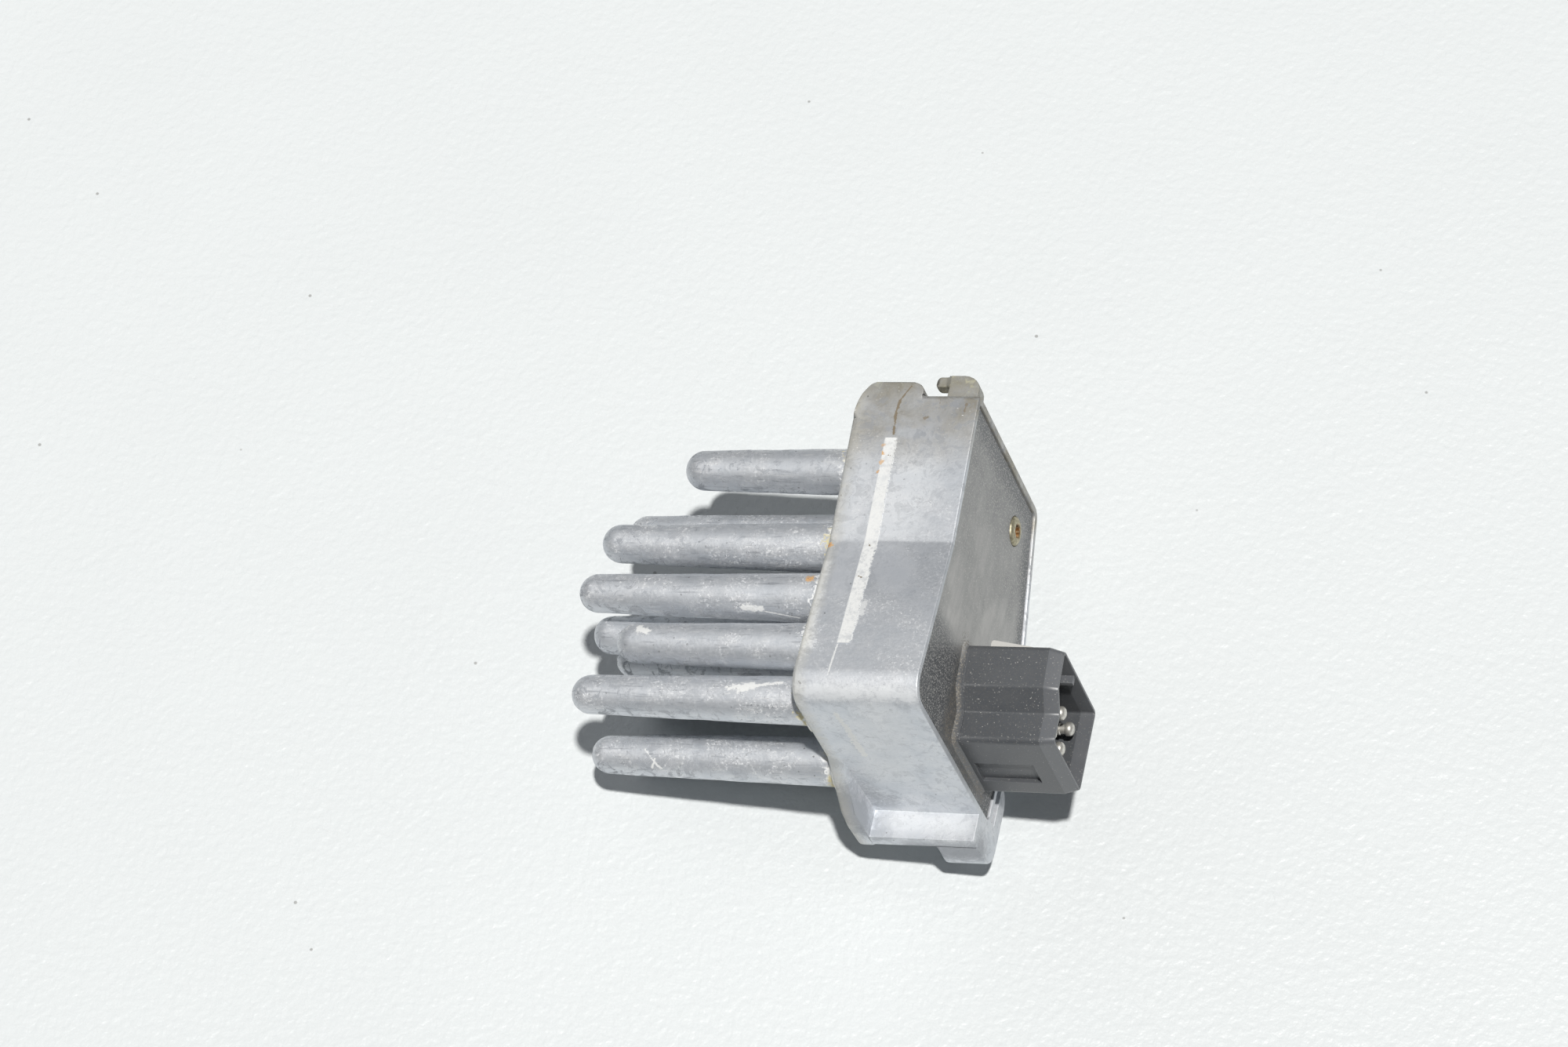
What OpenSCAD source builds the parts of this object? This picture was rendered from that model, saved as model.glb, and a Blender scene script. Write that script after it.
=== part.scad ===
// Blower motor resistor: a cast heat sink with tapered cooling pins, a moulded cover with a
// five-way connector shroud, and the power electronics inside.
// X runs along the cooling pins, with the connector at +X. Y is the long side of the body.
// Z points up out of the long bent wall. The origin is at the middle of the rim plane.

/* [Body] */
// Length of the body along Y
body_len = 63.5; // [60:0.5:74]
// Height of the body along Z
body_h = 50; // [46:0.5:58]
// Depth of the tray along X
tray_depth = 24; // [22:0.5:30]
// Thickness of the tray floor that carries the cooling pins
floor_t = 4; // [3:0.5:6]
// Thickness of the tray wall below the ledge
wall_t = 2.8; // [2.2:0.1:4]
// Thickness of the thin rim round the cover
rim_t = 1.4; // [1:0.1:1.8]
// Depth that the long upper wall is bent inwards
bend_in = 2.6; // [0.5:0.1:4]
// Place of that bend along Y
bend_y = 1.5; // [-6:0.5:8]
// Start of the cut-off lower corner along Y
cut_y = 3; // [-4:0.5:10]
// Rise of the lower wall at the cut-off corner
cut_rise = 9.6; // [6:0.2:13]
// Radius of the big rounded corner beside the connector
big_corner_r = 5; // [3:0.5:8]
// Radius of the two lower body corners
corner_r = 2.5; // [1.5:0.25:4]
// Radius of the upper corner on the free end
end_corner_r = 1.2; // [0.8:0.1:3]

/* [Cooling pins] */
// Length of most cooling pins, tip included
pin_len = 47.6; // [32:0.2:60]
// Length of the longest pins
long_pin_len = 49.6; // [34:0.2:62]
// Length of the shorter pin in the front row
mid_pin_len = 39.5; // [25:0.5:50]
// Length of the pins at the free end of the body
short_pin_len = 34.6; // [20:0.2:50]
// Radius of a long pin at its round tip
pin_tip_r = 3.6; // [2.5:0.1:3.8]
// Draft of the pins, growth of the radius for each millimetre
pin_draft = 0.021; // [0.005:0.001:0.024]
// Height of the flared foot of each pin
pin_foot_h = 1.2; // [0.4:0.1:3]
// Growth of the radius in the flared foot
pin_foot_w = 0.5; // [0.2:0.1:0.6]

/* [Lugs] */
// Width of the hook on the free end, along Z
hook_w = 3.5; // [2.5:0.5:10]
// Reach of the hook over the end wall
hook_reach = 6; // [5:0.1:9]
// Thickness of the hook along X
hook_t = 6; // [4:0.1:8]
// Distance from the rim plane back to the hook
hook_back = 1.6; // [0:0.1:4]
// Length of the finger of the hook
finger_len = 3.1; // [2:0.1:6]
// Thickness of the finger
finger_t = 2.2; // [1.5:0.1:3.2]
// Width of the finger along Z
finger_w = 2.4; // [1.6:0.1:3.4]
// Distance from the upper corner of the body down to the hook
hook_drop = 3; // [2:0.5:8]
// Height of the thick lip on the free end
lip_h = 2.5; // [1.5:0.1:4]
// Length of that lip along X
lip_len = 13; // [8:0.5:14]
// Width along X of the large round where the free end meets the tray floor
end_round = 4; // [2:0.5:4]
// Height of that round along Y
end_round_h = 7.5; // [4:0.5:9]
// Reach of the shelf beside the lower corner
shelf_reach = 5.7; // [3:0.1:8]
// Thickness of the shelf
shelf_t = 5; // [4:0.1:8]
// Length of the shelf along X
shelf_len = 20.4; // [12:0.2:22]
// Drop of the lower lug below the body
lug_drop = 5.2; // [4.5:0.1:8]
// Thickness of the lower lug along X
lug_t = 8; // [5:0.5:11]
// Length of the lower lug along Y, inside the body corner
lug_len = 11; // [8:0.5:16]
// Chamfer on the lower lug, towards the pins
lug_chamfer = 1.6; // [0.8:0.1:3]
// Width of the slot between the lower lug and the body
slot_w = 1.8; // [1.2:0.1:2.4]
// Length of that slot
slot_len = 9; // [5:0.5:10]
// Width of the cut-off gate on the long bent wall
gate_w = 2.4; // [1:0.1:4]
// Height of the cut-off gate
gate_h = 0.25; // [0.1:0.05:0.6]
// Distance from the rim plane to the parting line, at the edge of the gate
parting_x = 14.4; // [12:0.1:18]

/* [Cover] */
// Thickness of the cover plate
cover_t = 2; // [1.5:0.1:3]
// Depth of the cover face below the rim
cover_sink = 0.4; // [0.1:0.1:1]
// Thickness of the gasket under the cover
gasket_t = 0.5; // [0.3:0.1:1]
// Gap between the cover and the rim all round
cover_gap = 0.2; // [0.1:0.05:0.4]
// Distance from the free end of the body to the cover screw
screw_edge = 9.7; // [7:0.1:14]
// Place of the cover screw along Z
screw_z = -6.8; // [-8:0.2:-2]
// Radius of the screw head
screw_head_r = 2.8; // [2.4:0.1:3.4]
// Radius of the screw shank
screw_r = 1.5; // [1.2:0.1:1.8]
// Length of the screw shank
screw_len = 11; // [8:0.5:14]

/* [Connector] */
// Height of the connector shroud above the rim plane
shroud_h = 18.6; // [14:0.2:26]
// Width of the shroud along Y
shroud_w = 18; // [16:0.1:20]
// Length of the shroud along Z, at its long side
shroud_len = 23.6; // [21:0.1:26]
// Length of the tapered lead-in at its mouth
lead_len = 2.8; // [1:0.1:5]
// Inset of the lead-in on each side
lead_in = 0.6; // [0.2:0.1:0.9]
// Depth of the step in its upper side
key_step = 4.1; // [2:0.1:6]
// Width of the stepped part along Y
key_w = 6; // [4:0.1:8]
// Size of the flare at the foot of the shroud
foot = 1; // [0.4:0.1:1.6]
// Wall of the shroud
shroud_wall = 1.1; // [0.9:0.1:1.8]
// Distance from the connector end of the body to the middle of the shroud
shroud_edge = 13.25; // [12.5:0.25:17.5]
// Upper edge of the shroud along Z
shroud_top = 5.6; // [2:0.1:8]
// Depth of the latch groove in the outer side
groove_deep = 0.8; // [0.3:0.1:1]
// Width of the latch groove
groove_w = 6.4; // [3:0.1:8]
// Distance from the lower edge of the shroud to that groove
groove_low = 4.7; // [3:0.1:7]
// Length of the latch wedge at the mouth
wedge_len = 6; // [3.4:0.1:8]
// Height of the lock ramp on the inner side
ramp_h = 1.7; // [1:0.1:3]
// Length of the lock ramp
ramp_len = 8; // [4:0.2:9]
// Width of the lock ramp
ramp_w = 5; // [3:0.2:9]
// Pitch of the terminal pins
pitch = 5.8; // [5:0.1:6]
// Radius of a terminal pin
terminal_r = 1.3; // [0.8:0.05:1.4]
// Distance from the mouth of the shroud to the pin tips
tip_sink = 1.9; // [1:0.1:5]

/* [Electronics] */
// Length of the circuit board along Y
board_len = 41; // [39:0.5:43]
// Height of the circuit board along Z
board_h = 36; // [32:0.5:37]
// Thickness of the circuit board
board_t = 1.6; // [1:0.1:2]
// Gap between the tray floor and the circuit board
board_lift = 10.4; // [9.8:0.1:12]
// Length of a power transistor body
chip_len = 20; // [18:0.5:22]
// Width of a power transistor body
chip_w = 15.4; // [12:0.1:16]
// Thickness of a power transistor body
chip_t = 4.8; // [3.5:0.1:5.4]
// Thickness of the insulating pad under it
pad_t = 0.4; // [0.2:0.1:0.8]
// Space between the two transistors
chip_gap = 6.6; // [6:0.1:8]
// Thickness of the clamp bar
bar_t = 1.2; // [0.8:0.1:1.6]
// Radius of the capacitor cans
can_r = 4; // [3:0.1:4.4]
// Length of the capacitor cans
can_len = 10; // [7:0.5:11]

/* [Hidden] */

$fn = 48;
arc_steps = 6;
cut = 1;
fit_gap = 0.1;
free_gap = 0.6;

// Place of the cover screw along Y, and the depth that its head is let into the cover
screw_y = body_len / 2 - screw_edge;
screw_seat = 0.6;

// Planes along X
floor_x = -tray_depth + floor_t;
ledge_x = -cover_sink - cover_t - gasket_t;
cover_back = -cover_sink - cover_t;
board_back = floor_x + board_lift;
board_front = board_back + board_t;

// Outline of the body in the YZ plane, anticlockwise
body_outline = [
    [body_len / 2, body_h / 2],
    [bend_y, body_h / 2 - bend_in],
    [-body_len / 2, body_h / 2],
    [-body_len / 2, -body_h / 2],
    [cut_y, -body_h / 2],
    [body_len / 2, -body_h / 2 + cut_rise]];
bend_r = 8;
body_radii = [end_corner_r, bend_r, big_corner_r, corner_r, bend_r / 4, corner_r];

// Cooling pins in staggered rows: place along Z, places along Y, length. The places are for
// a body of 63.5 by 50 mm, and spread with it.
spread_y = body_len / 63.5;
spread_z = body_h / 50;
pin_rows = [
    [15, [4.4], pin_len],
    [15, [-6.4], long_pin_len],
    [15, [-16.8], mid_pin_len],
    [15, [20.8], short_pin_len],
    [11.6, [-26], pin_len],
    [5, [12.6], pin_len],
    [5, [-9.4], long_pin_len],
    [5, [27], short_pin_len],
    [0, [2, -19.4], pin_len],
    [-6.6, [17], pin_len],
    [-6.6, [-7.8, -28.4], long_pin_len],
    [-15.4, [10.2, 0.4, -10.8], pin_len],
    [-18.4, [-21.4], pin_len]];

// Outline of the shroud in the YZ plane, anticlockwise, and where the terminals stand
shroud_y = shroud_edge - body_len / 2;
shroud_right = shroud_y + shroud_w / 2;
shroud_left = shroud_y - shroud_w / 2;
shroud_bottom = shroud_top - shroud_len;
shroud_outline = [
    [shroud_right, shroud_top],
    [shroud_left + key_w + key_step * 0.9, shroud_top - 0.8],
    [shroud_left + key_w, shroud_top - key_step],
    [shroud_left, shroud_top - key_step],
    [shroud_left, shroud_bottom],
    [shroud_right, shroud_bottom]];
shroud_r = 1.2;
shroud_mid_z = (shroud_top + shroud_bottom) / 2;
contacts_off_y = 0.7;
contacts_off_z = 1;
terminal_row_y = shroud_y - contacts_off_y + pitch / 2;
terminal_mid_z = shroud_mid_z - contacts_off_z;
shank_r = terminal_r - 0.15;
neck_r = terminal_r - 0.35;
tail_r = terminal_r * 0.6;
terminals = [
    [terminal_row_y, terminal_mid_z + pitch],
    [terminal_row_y, terminal_mid_z],
    [terminal_row_y, terminal_mid_z - pitch],
    [terminal_row_y - pitch, terminal_mid_z + pitch / 2],
    [terminal_row_y - pitch, terminal_mid_z - pitch / 2]];

// Places of the inner pieces, worked out from one another
boss_r = 4;
post_r = 2.4;
post_in = 3;
board_in = 4.25;
board_y = board_in + board_len / 2 - body_len / 2;
board_z = -1;
board_gap = 0.8;
posts = [
    [board_y - board_len / 2 + post_in, board_z + board_h / 2 - post_in],
    [board_y - board_len / 2 + post_in, board_z - board_h / 2 + post_in],
    [board_y + board_len / 2 - post_in, board_z]];
chip_y = posts[0][0] + post_r + free_gap + chip_len / 2;
chip_z = board_z;
chip_back = floor_x + pad_t;
chip_front = chip_back + chip_t;
clamp_r = 1.5;
clamp_boss_r = 2.6;
clamp_press = 0.2;
clamp_anchor = floor_t / 2;
bar_w = 8;
screw_top_h = 1.8;
leg_w = 1.2;
leg_t = 0.6;
leg_pitch = 5.2;
leg_out = 3.4;
solder_out = 1;
legs_y = chip_y + chip_len / 2;
lead_r = 0.3;
lead_pitch = 2.5;
lead_bend = 1;
bung_t = 0.4;
can_x = board_back - can_r - 0.2;
can_y = legs_y + leg_out + leg_t + 3 * free_gap + can_r;
can_first = post_r + free_gap;

function unit(v) = v / norm(v);

// Corner b of the path a, b, c, moved inwards by d
function inset_corner(a, b, c, d) =
    let (u = unit(b - a), v = unit(c - b), nu = [-u[1], u[0]], nv = [-v[1], v[0]])
    b + (nu + nv) * d / (1 + nu * nv);

function inset(pts, d) = [for (i = [0 : len(pts) - 1])
    inset_corner(pts[(i + len(pts) - 1) % len(pts)], pts[i], pts[(i + 1) % len(pts)], d)];

// Points of an arc of radius r in corner b of the path a, b, c
function arc_corner(a, b, c, r) =
    let (u = unit(a - b), v = unit(c - b), half = acos(u * v) / 2,
        mid = b + unit(u + v) * r / sin(half),
        first = b + u * r / tan(half) - mid,
        last = b + v * r / tan(half) - mid,
        from = atan2(first[1], first[0]),
        turn = atan2(first[0] * last[1] - first[1] * last[0], first * last))
    [for (k = [0 : arc_steps]) mid + r * [cos(from + turn * k / arc_steps),
        sin(from + turn * k / arc_steps)]];

function rounded(pts, radii) = [for (i = [0 : len(pts) - 1])
    each arc_corner(pts[(i + len(pts) - 1) % len(pts)], pts[i], pts[(i + 1) % len(pts)], radii[i])];

// The body outline moved inwards by d, with its corner radii kept round the same middles
function body_path(d) = rounded(inset(body_outline, d),
    [for (i = [0 : len(body_radii) - 1])
        i == 1 ? body_radii[i] + d : max(body_radii[i] - d, 0.6)]);

// Turns a YZ drawing into a plate between two planes along X
module along_x(from, to) {
    translate([from, 0, 0])
        rotate([90, 0, 90])
            linear_extrude(to - from)
                children();
}

// A round rod along X at a place in the YZ plane
module rod(place, from, to, r_from, r_to) {
    translate([from, place[0], place[1]])
        rotate([0, 90, 0])
            cylinder(h = to - from, r1 = r_from, r2 = is_undef(r_to) ? r_from : r_to);
}

// One tapered cooling pin with its flared foot on the outside of the tray floor
module cooling_pin(place, length) {
    tip_r = pin_tip_r + pin_draft * (pin_len - length) / 2;
    root_r = tip_r + pin_draft * (length - tip_r);
    ball_x = -tray_depth - length + tip_r;
    bury = floor_t / 2;
    rod(place, ball_x, -tray_depth + bury, tip_r, root_r + pin_draft * bury);
    translate([ball_x, place[0], place[1]])
        sphere(r = tip_r);
    rod(place, -tray_depth - pin_foot_h, -tray_depth, root_r, root_r + pin_foot_w);
    rod(place, -tray_depth, -tray_depth + bury, root_r + pin_foot_w);
}

// Hook on the free end: its profile lies in the XY plane, with the finger towards the pins
module end_hook() {
    base_y = body_len / 2 - cut;
    top_y = body_len / 2 + hook_reach;
    under_y = top_y - finger_t;
    front = -hook_back;
    back = -hook_back - hook_t;
    tip = back - finger_len;
    bend = min(3.4, hook_t - 1);
    profile = concat(
        [[front, base_y]],
        arc_corner([front, base_y], [front, top_y], [back, top_y], bend),
        arc_corner([back, top_y], [tip, top_y], [tip, under_y], finger_t * 0.48),
        arc_corner([tip, top_y], [tip, under_y], [back, under_y], finger_t * 0.48),
        arc_corner([tip, under_y], [back, under_y], [back, base_y], 0.6),
        [[back, base_y]]);
    // Outline of the hook in the XZ plane: full width at the root, narrow and round at the tip
    low = -hook_w / 2;
    thin = -finger_w / 2;
    outline = concat(
        [[front, -low], [front, low], [back, low]],
        [[back - 0.8, thin]],
        arc_corner([back, thin], [tip, thin], [tip, -thin], finger_w * 0.45),
        arc_corner([tip, thin], [tip, -thin], [back, -thin], finger_w * 0.45),
        [[back - 0.8, -thin]],
        [[back, -low]]);
    translate([0, 0, body_h / 2 - hook_drop - hook_w / 2])
        intersection() {
            translate([0, 0, low])
                linear_extrude(hook_w)
                    polygon(profile);
            translate([0, top_y, 0])
                rotate([90, 0, 0])
                    linear_extrude(top_y - base_y)
                        polygon(outline);
        }
}

// Thick lip on the free end, beside the pins: it carries the bent wall on without a step
module end_lip() {
    base_y = body_len / 2 - 2 * end_corner_r;
    top_y = body_len / 2 + lip_h;
    front = -tray_depth + lip_len;
    low_z = -body_h / 2 + cut_rise + corner_r;
    base = body_path(0)[arc_steps];
    rise = bend_in / (body_len / 2 - bend_y) * (top_y - base[0]);
    top = base + [top_y - base[0], rise];
    profile = concat(
        [[-tray_depth, base_y], [front, base_y]],
        arc_corner([front, base_y], [front, top_y], [-tray_depth, top_y], lip_h * 0.9),
        [[-tray_depth, top_y]]);
    side = concat(
        [[base[0], low_z], [top_y, low_z]],
        arc_corner([top_y, low_z], top, base, 0.4),
        [base]);
    intersection() {
        translate([0, 0, -body_h / 2])
            linear_extrude(body_h)
                polygon(profile);
        along_x(-tray_depth, front)
            polygon(side);
    }
}

// Takes the corner between the free end and the tray floor off in one large round
module free_end_round() {
    top_y = body_len / 2 + lip_h;
    mid = [end_round - tray_depth, top_y - end_round_h];
    translate([0, 0, -body_h / 2])
        linear_extrude(body_h)
            polygon(concat(
                [[-tray_depth - cut, mid[1]]],
                [for (k = [0 : 2 * arc_steps])
                    mid + [-end_round * cos(45 * k / arc_steps),
                        end_round_h * sin(45 * k / arc_steps)]],
                [[mid[0], top_y + cut], [-tray_depth - cut, top_y + cut]]));
}

// What is left of the cut-off gate: a low land beside the parting line of the long wall
module gate_land() {
    from_y = -body_len / 3;
    to_y = body_len / 3 + 1;
    intersection() {
        along_x(-parting_x - gate_w, -parting_x)
            polygon(body_path(-gate_h));
        translate([-tray_depth, from_y, 0])
            cube([tray_depth, to_y - from_y, body_h]);
    }
}

// Shelf on the lower corner, with the ramp that runs out towards the pins
module corner_shelf() {
    out_y = -body_len / 2 - shelf_reach;
    in_y = -body_len / 2 + cut;
    low_z = -body_h / 2 + 1.8;
    top_z = low_z + shelf_t;
    chamfer = 1.6;
    ramp_foot = 3;
    ramp_rise = 19;
    end_face = [[in_y, top_z], [out_y, top_z], [out_y, low_z + 1.5 * chamfer],
        [out_y + chamfer, low_z], [in_y, low_z]];
    pin_face = [[in_y, top_z + ramp_rise], [-body_len / 2, top_z + ramp_rise],
        [out_y + 0.8, top_z + 7], [out_y + 0.3, top_z + 3], [out_y + 0.6, low_z + chamfer / 2],
        [out_y + chamfer, low_z], [in_y, low_z]];
    skin = 0.1;
    along_x(-shelf_len, 0)
        polygon(end_face);
    hull() {
        along_x(-shelf_len, -shelf_len + skin)
            polygon(end_face);
        along_x(-tray_depth, -tray_depth + ramp_foot)
            polygon(pin_face);
    }
}

// Lower lug: a rounded plate round an open slot, chamfered towards the pins
module lower_lug() {
    out_y = -body_len / 2 - shelf_reach;
    in_y = -body_len / 2 + lug_len;
    low_z = -body_h / 2 - lug_drop;
    base_z = -body_h / 2 + corner_r / 2;
    outline = concat(
        [[out_y, -body_h / 2 + 4]],
        arc_corner([out_y, 0], [out_y, low_z], [in_y, low_z], 4.4),
        arc_corner([out_y, low_z], [in_y, low_z], [in_y, base_z], lug_drop * 0.8),
        [[in_y, base_z]],
        [[-body_len / 2 + 1, base_z + 2]]);
    // Profile of the lug in the XZ plane, with its chamfer
    profile = [[-lug_t, base_z + 4], [-lug_t, low_z + 1.6 * lug_chamfer],
        [-lug_t + lug_chamfer, low_z], [0, low_z], [0, base_z + 4]];
    difference() {
        intersection() {
            along_x(-lug_t, 0)
                polygon(outline);
            translate([0, in_y, 0])
                rotate([90, 0, 0])
                    linear_extrude(in_y - out_y)
                        polygon(profile);
        }
        translate([-lug_t - cut, in_y - slot_len, -body_h / 2 - slot_w])
            cube([lug_t + 2 * cut, slot_len + cut, slot_w]);
    }
}

module heat_sink() {
    color("#9A9DA0")
    difference() {
        union() {
            difference() {
                union() {
                    along_x(-tray_depth, 0)
                        polygon(body_path(0));
                    end_lip();
                }
                free_end_round();
            }
            for (row = pin_rows)
                for (y = row[1])
                    cooling_pin([y * spread_y, row[0] * spread_z], row[2]);
            end_hook();
            gate_land();
            corner_shelf();
            lower_lug();
        }
        // Seat of the cover, and the room below its ledge with posts and bosses left standing
        difference() {
            union() {
                along_x(ledge_x, cut)
                    polygon(body_path(rim_t));
                along_x(floor_x, ledge_x + cut)
                    polygon(body_path(wall_t));
            }
            for (p = posts)
                rod(p, floor_x - cut, board_back, post_r);
            rod([screw_y, screw_z], floor_x - cut, cover_back, boss_r);
            rod([chip_y, chip_z], floor_x - cut, chip_front - clamp_press, clamp_boss_r);
        }
        rod([screw_y, screw_z], cover_back - screw_len - cut, cover_back + cut, screw_r);
        rod([chip_y, chip_z], floor_x - clamp_anchor, chip_front + cut, clamp_r);
    }
}

module shroud_shape(d) {
    polygon(rounded(inset(shroud_outline, d),
        [for (i = [0 : 5]) i == 2 ? 0.8 : max(shroud_r - d * 0.6, 0.3)]));
}

// The outside of the shroud and its tapered end, drawn about the shroud's own middle
module shroud_body() {
    straight = shroud_h - lead_len - cover_back;
    translate([shroud_h - lead_len, shroud_y, shroud_mid_z])
        rotate([90, 0, 90]) {
            translate([0, 0, -straight])
                linear_extrude(straight)
                    translate([-shroud_y, -shroud_mid_z])
                        shroud_shape(0);
            linear_extrude(lead_len, slices = 1,
                scale = [1 - 2 * lead_in / shroud_w, 1 - 2 * lead_in / shroud_len])
                translate([-shroud_y, -shroud_mid_z])
                    shroud_shape(0);
        }
}

// Sloping flare round the foot of the shroud
module shroud_foot() {
    bury = 0.3;
    top_in = 0.3;
    translate([-cover_sink - bury, shroud_y, shroud_mid_z])
        rotate([90, 0, 90])
            linear_extrude(foot + 2 * bury, slices = 1,
                scale = [(shroud_w - 2 * top_in) / (shroud_w + 2 * foot),
                    (shroud_len - 2 * top_in) / (shroud_len + 2 * foot)])
                translate([-shroud_y, -shroud_mid_z])
                    shroud_shape(-foot);
}

// Latch groove in the outer side, which the wedge at the mouth closes again
module latch_groove() {
    low_z = shroud_bottom + groove_low;
    from_x = 1.4;
    translate([from_x, shroud_left - cut, low_z])
        cube([shroud_h - wedge_len - from_x, groove_deep + cut, groove_w]);
    translate([shroud_h - wedge_len, shroud_left - cut, low_z])
        rotate([0, 0, atan(groove_deep / wedge_len)])
            translate([0, -cut, 0])
                cube([wedge_len * 1.4, cut * 2, groove_w]);
}

// Lock ramp on the side that faces the middle of the cover
module lock_ramp() {
    back_x = 4;
    end_h = 0.5;
    top_z = shroud_top - 1.6;
    base_y = shroud_right - shroud_wall / 2;
    translate([0, 0, top_z - ramp_w])
        linear_extrude(ramp_w)
            polygon([[back_x, base_y], [back_x + ramp_len + end_h, base_y],
                [back_x + ramp_len, shroud_right + end_h], [back_x + 0.4, shroud_right + ramp_h],
                [back_x, shroud_right + ramp_h - 0.3]]);
}

// Coding rib on the wall inside the mouth
module coding_rib() {
    rib_len = 5.6;
    rib_sink = 0.4;
    rib_h = 1.6;
    rib_w = 1;
    translate([shroud_h - rib_sink - rib_len, shroud_right - shroud_wall - rib_h,
        shroud_top - shroud_len * 0.42])
        cube([rib_len, rib_h + shroud_wall / 2, rib_w]);
}

module cover() {
    floor_lift = 0.6;
    color("#1E1F21")
    difference() {
        union() {
            difference() {
                union() {
                    along_x(cover_back, -cover_sink)
                        polygon(body_path(rim_t + cover_gap));
                    shroud_body();
                    shroud_foot();
                    lock_ramp();
                }
                along_x(-cover_sink + floor_lift, shroud_h + cut)
                    shroud_shape(shroud_wall);
                latch_groove();
            }
            coding_rib();
        }
        for (t = terminals)
            rod(t, cover_back - cut, -cover_sink + floor_lift + cut, shank_r + fit_gap / 2);
        rod([screw_y, screw_z], cover_back - cut, cut, screw_r + fit_gap);
        rod([screw_y, screw_z], -cover_sink - screw_seat, cut, screw_head_r + fit_gap);
    }
}

module cover_gasket() {
    color("#5B2A22")
    along_x(ledge_x, cover_back)
        difference() {
            polygon(body_path(rim_t + cover_gap));
            polygon(body_path(wall_t));
        }
}

// Pan-head screw with a six-lobed socket
module cover_screw() {
    rim_h = 0.65;
    dome_h = 0.55;
    socket_r = screw_head_r * 0.5;
    color("#C8A24A")
    translate([-cover_sink - screw_seat, screw_y, screw_z])
        rotate([0, 90, 0])
            difference() {
                union() {
                    cylinder(h = rim_h, r = screw_head_r);
                    translate([0, 0, rim_h])
                        cylinder(h = dome_h, r1 = screw_head_r, r2 = screw_head_r * 0.7);
                    translate([0, 0, screw_seat - screw_len])
                        cylinder(h = screw_len, r = screw_r - fit_gap / 2);
                }
                for (a = [0 : 60 : 120])
                    rotate([0, 0, a])
                        translate([-socket_r, -socket_r * 0.32, rim_h * 0.6])
                            cube([2 * socket_r, socket_r * 0.64, rim_h + dome_h]);
            }
}

// A round terminal: tail through the board, shank, neck and a head at the tip
module terminal(i) {
    place = terminals[i - 1];
    tip_x = shroud_h - tip_sink;
    head = 1.5;
    neck = 1;
    tip_round = 0.5;
    color("#C9C7C0") {
        rod(place, board_back - solder_out, board_front, tail_r);
        rod(place, board_front, tip_x - head - neck, shank_r);
        rod(place, tip_x - head - neck, tip_x - head, neck_r);
        rod(place, tip_x - head, tip_x - tip_round, terminal_r);
        rod(place, tip_x - tip_round, tip_x, terminal_r, tail_r);
    }
}

function chip_mid(side) = chip_z + side * (chip_gap + chip_w) / 2;
function leg_z(side, k) = chip_mid(side) + k * leg_pitch;
function lead_z(side) = board_z + side * (can_first + can_len + bung_t + lead_bend);

// Board with one corner cut to the tray, and a hole for each thing soldered into it
module circuit_board() {
    color("#2E5B3C")
    difference() {
        intersection() {
            translate([board_back, board_y - board_len / 2, board_z - board_h / 2])
                cube([board_t, board_len, board_h]);
            along_x(board_back - cut, board_front + cut)
                polygon(body_path(wall_t + board_gap));
        }
        for (t = terminals)
            rod(t, board_back - cut, board_front + cut, tail_r + fit_gap / 2);
        for (side = [-1, 1]) {
            for (k = [-1, 0, 1])
                translate([board_back - cut, legs_y + leg_out - fit_gap / 2,
                    leg_z(side, k) - leg_w / 2 - fit_gap / 2])
                    cube([board_t + 2 * cut, leg_t + fit_gap, leg_w + fit_gap]);
            for (e = [-1, 1])
                rod([can_y + e * lead_pitch / 2, lead_z(side)], board_back - cut,
                    board_front + cut, lead_r + fit_gap / 2);
        }
    }
}

// Moulded body of a power transistor, with its screw hole and the notches beside it
module transistor(side) {
    color("#26282B")
    difference() {
        translate([chip_back, chip_y - chip_len / 2, chip_mid(side) - chip_w / 2])
            cube([chip_t, chip_len, chip_w]);
        rod([chip_y - chip_len * 0.33, chip_mid(side)], chip_back - cut, chip_front + cut, 1.7);
        for (edge = [-1, 1])
            rod([chip_y - chip_len * 0.33, chip_mid(side) + edge * chip_w / 2],
                chip_back - cut, chip_front + cut, 1.2);
    }
}

module transistor_legs(side) {
    leg_x = chip_back + chip_t * 0.55;
    color("#C9C7C0")
    for (k = [-1, 0, 1]) {
        translate([leg_x, legs_y, leg_z(side, k) - leg_w / 2])
            cube([leg_t, leg_out + leg_t, leg_w]);
        translate([leg_x, legs_y + leg_out, leg_z(side, k) - leg_w / 2])
            cube([board_front + solder_out - leg_x, leg_t, leg_w]);
    }
}

module insulating_pad(side) {
    color("#B9B7AE")
    translate([floor_x, chip_y - chip_len / 2, chip_mid(side) - chip_w / 2])
        cube([pad_t, chip_len, chip_w]);
}

// Steel bar across both transistors, pressed down by one screw
module clamp_bar() {
    bar_len = chip_gap + chip_w * 1.6;
    color("#8F9296")
    difference() {
        translate([chip_front, chip_y - bar_w / 2, chip_z - bar_len / 2])
            cube([bar_t, bar_w, bar_len]);
        rod([chip_y, chip_z], chip_front - cut, chip_front + bar_t + cut, clamp_r + fit_gap);
    }
}

module clamp_screw() {
    head_x = chip_front + bar_t;
    slot = 0.6;
    color("#A9ABAD") {
        rod([chip_y, chip_z], floor_x - clamp_anchor + 0.4, head_x, clamp_r - fit_gap / 2);
        difference() {
            rod([chip_y, chip_z], head_x, head_x + screw_top_h, clamp_r + 1.1, clamp_r + 0.7);
            for (a = [0, 90])
                translate([head_x + screw_top_h / 2, chip_y, chip_z])
                    rotate([a, 0, 0])
                        translate([0, -clamp_r, -slot / 2])
                            cube([screw_top_h, 2 * clamp_r, slot]);
        }
    }
}

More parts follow.
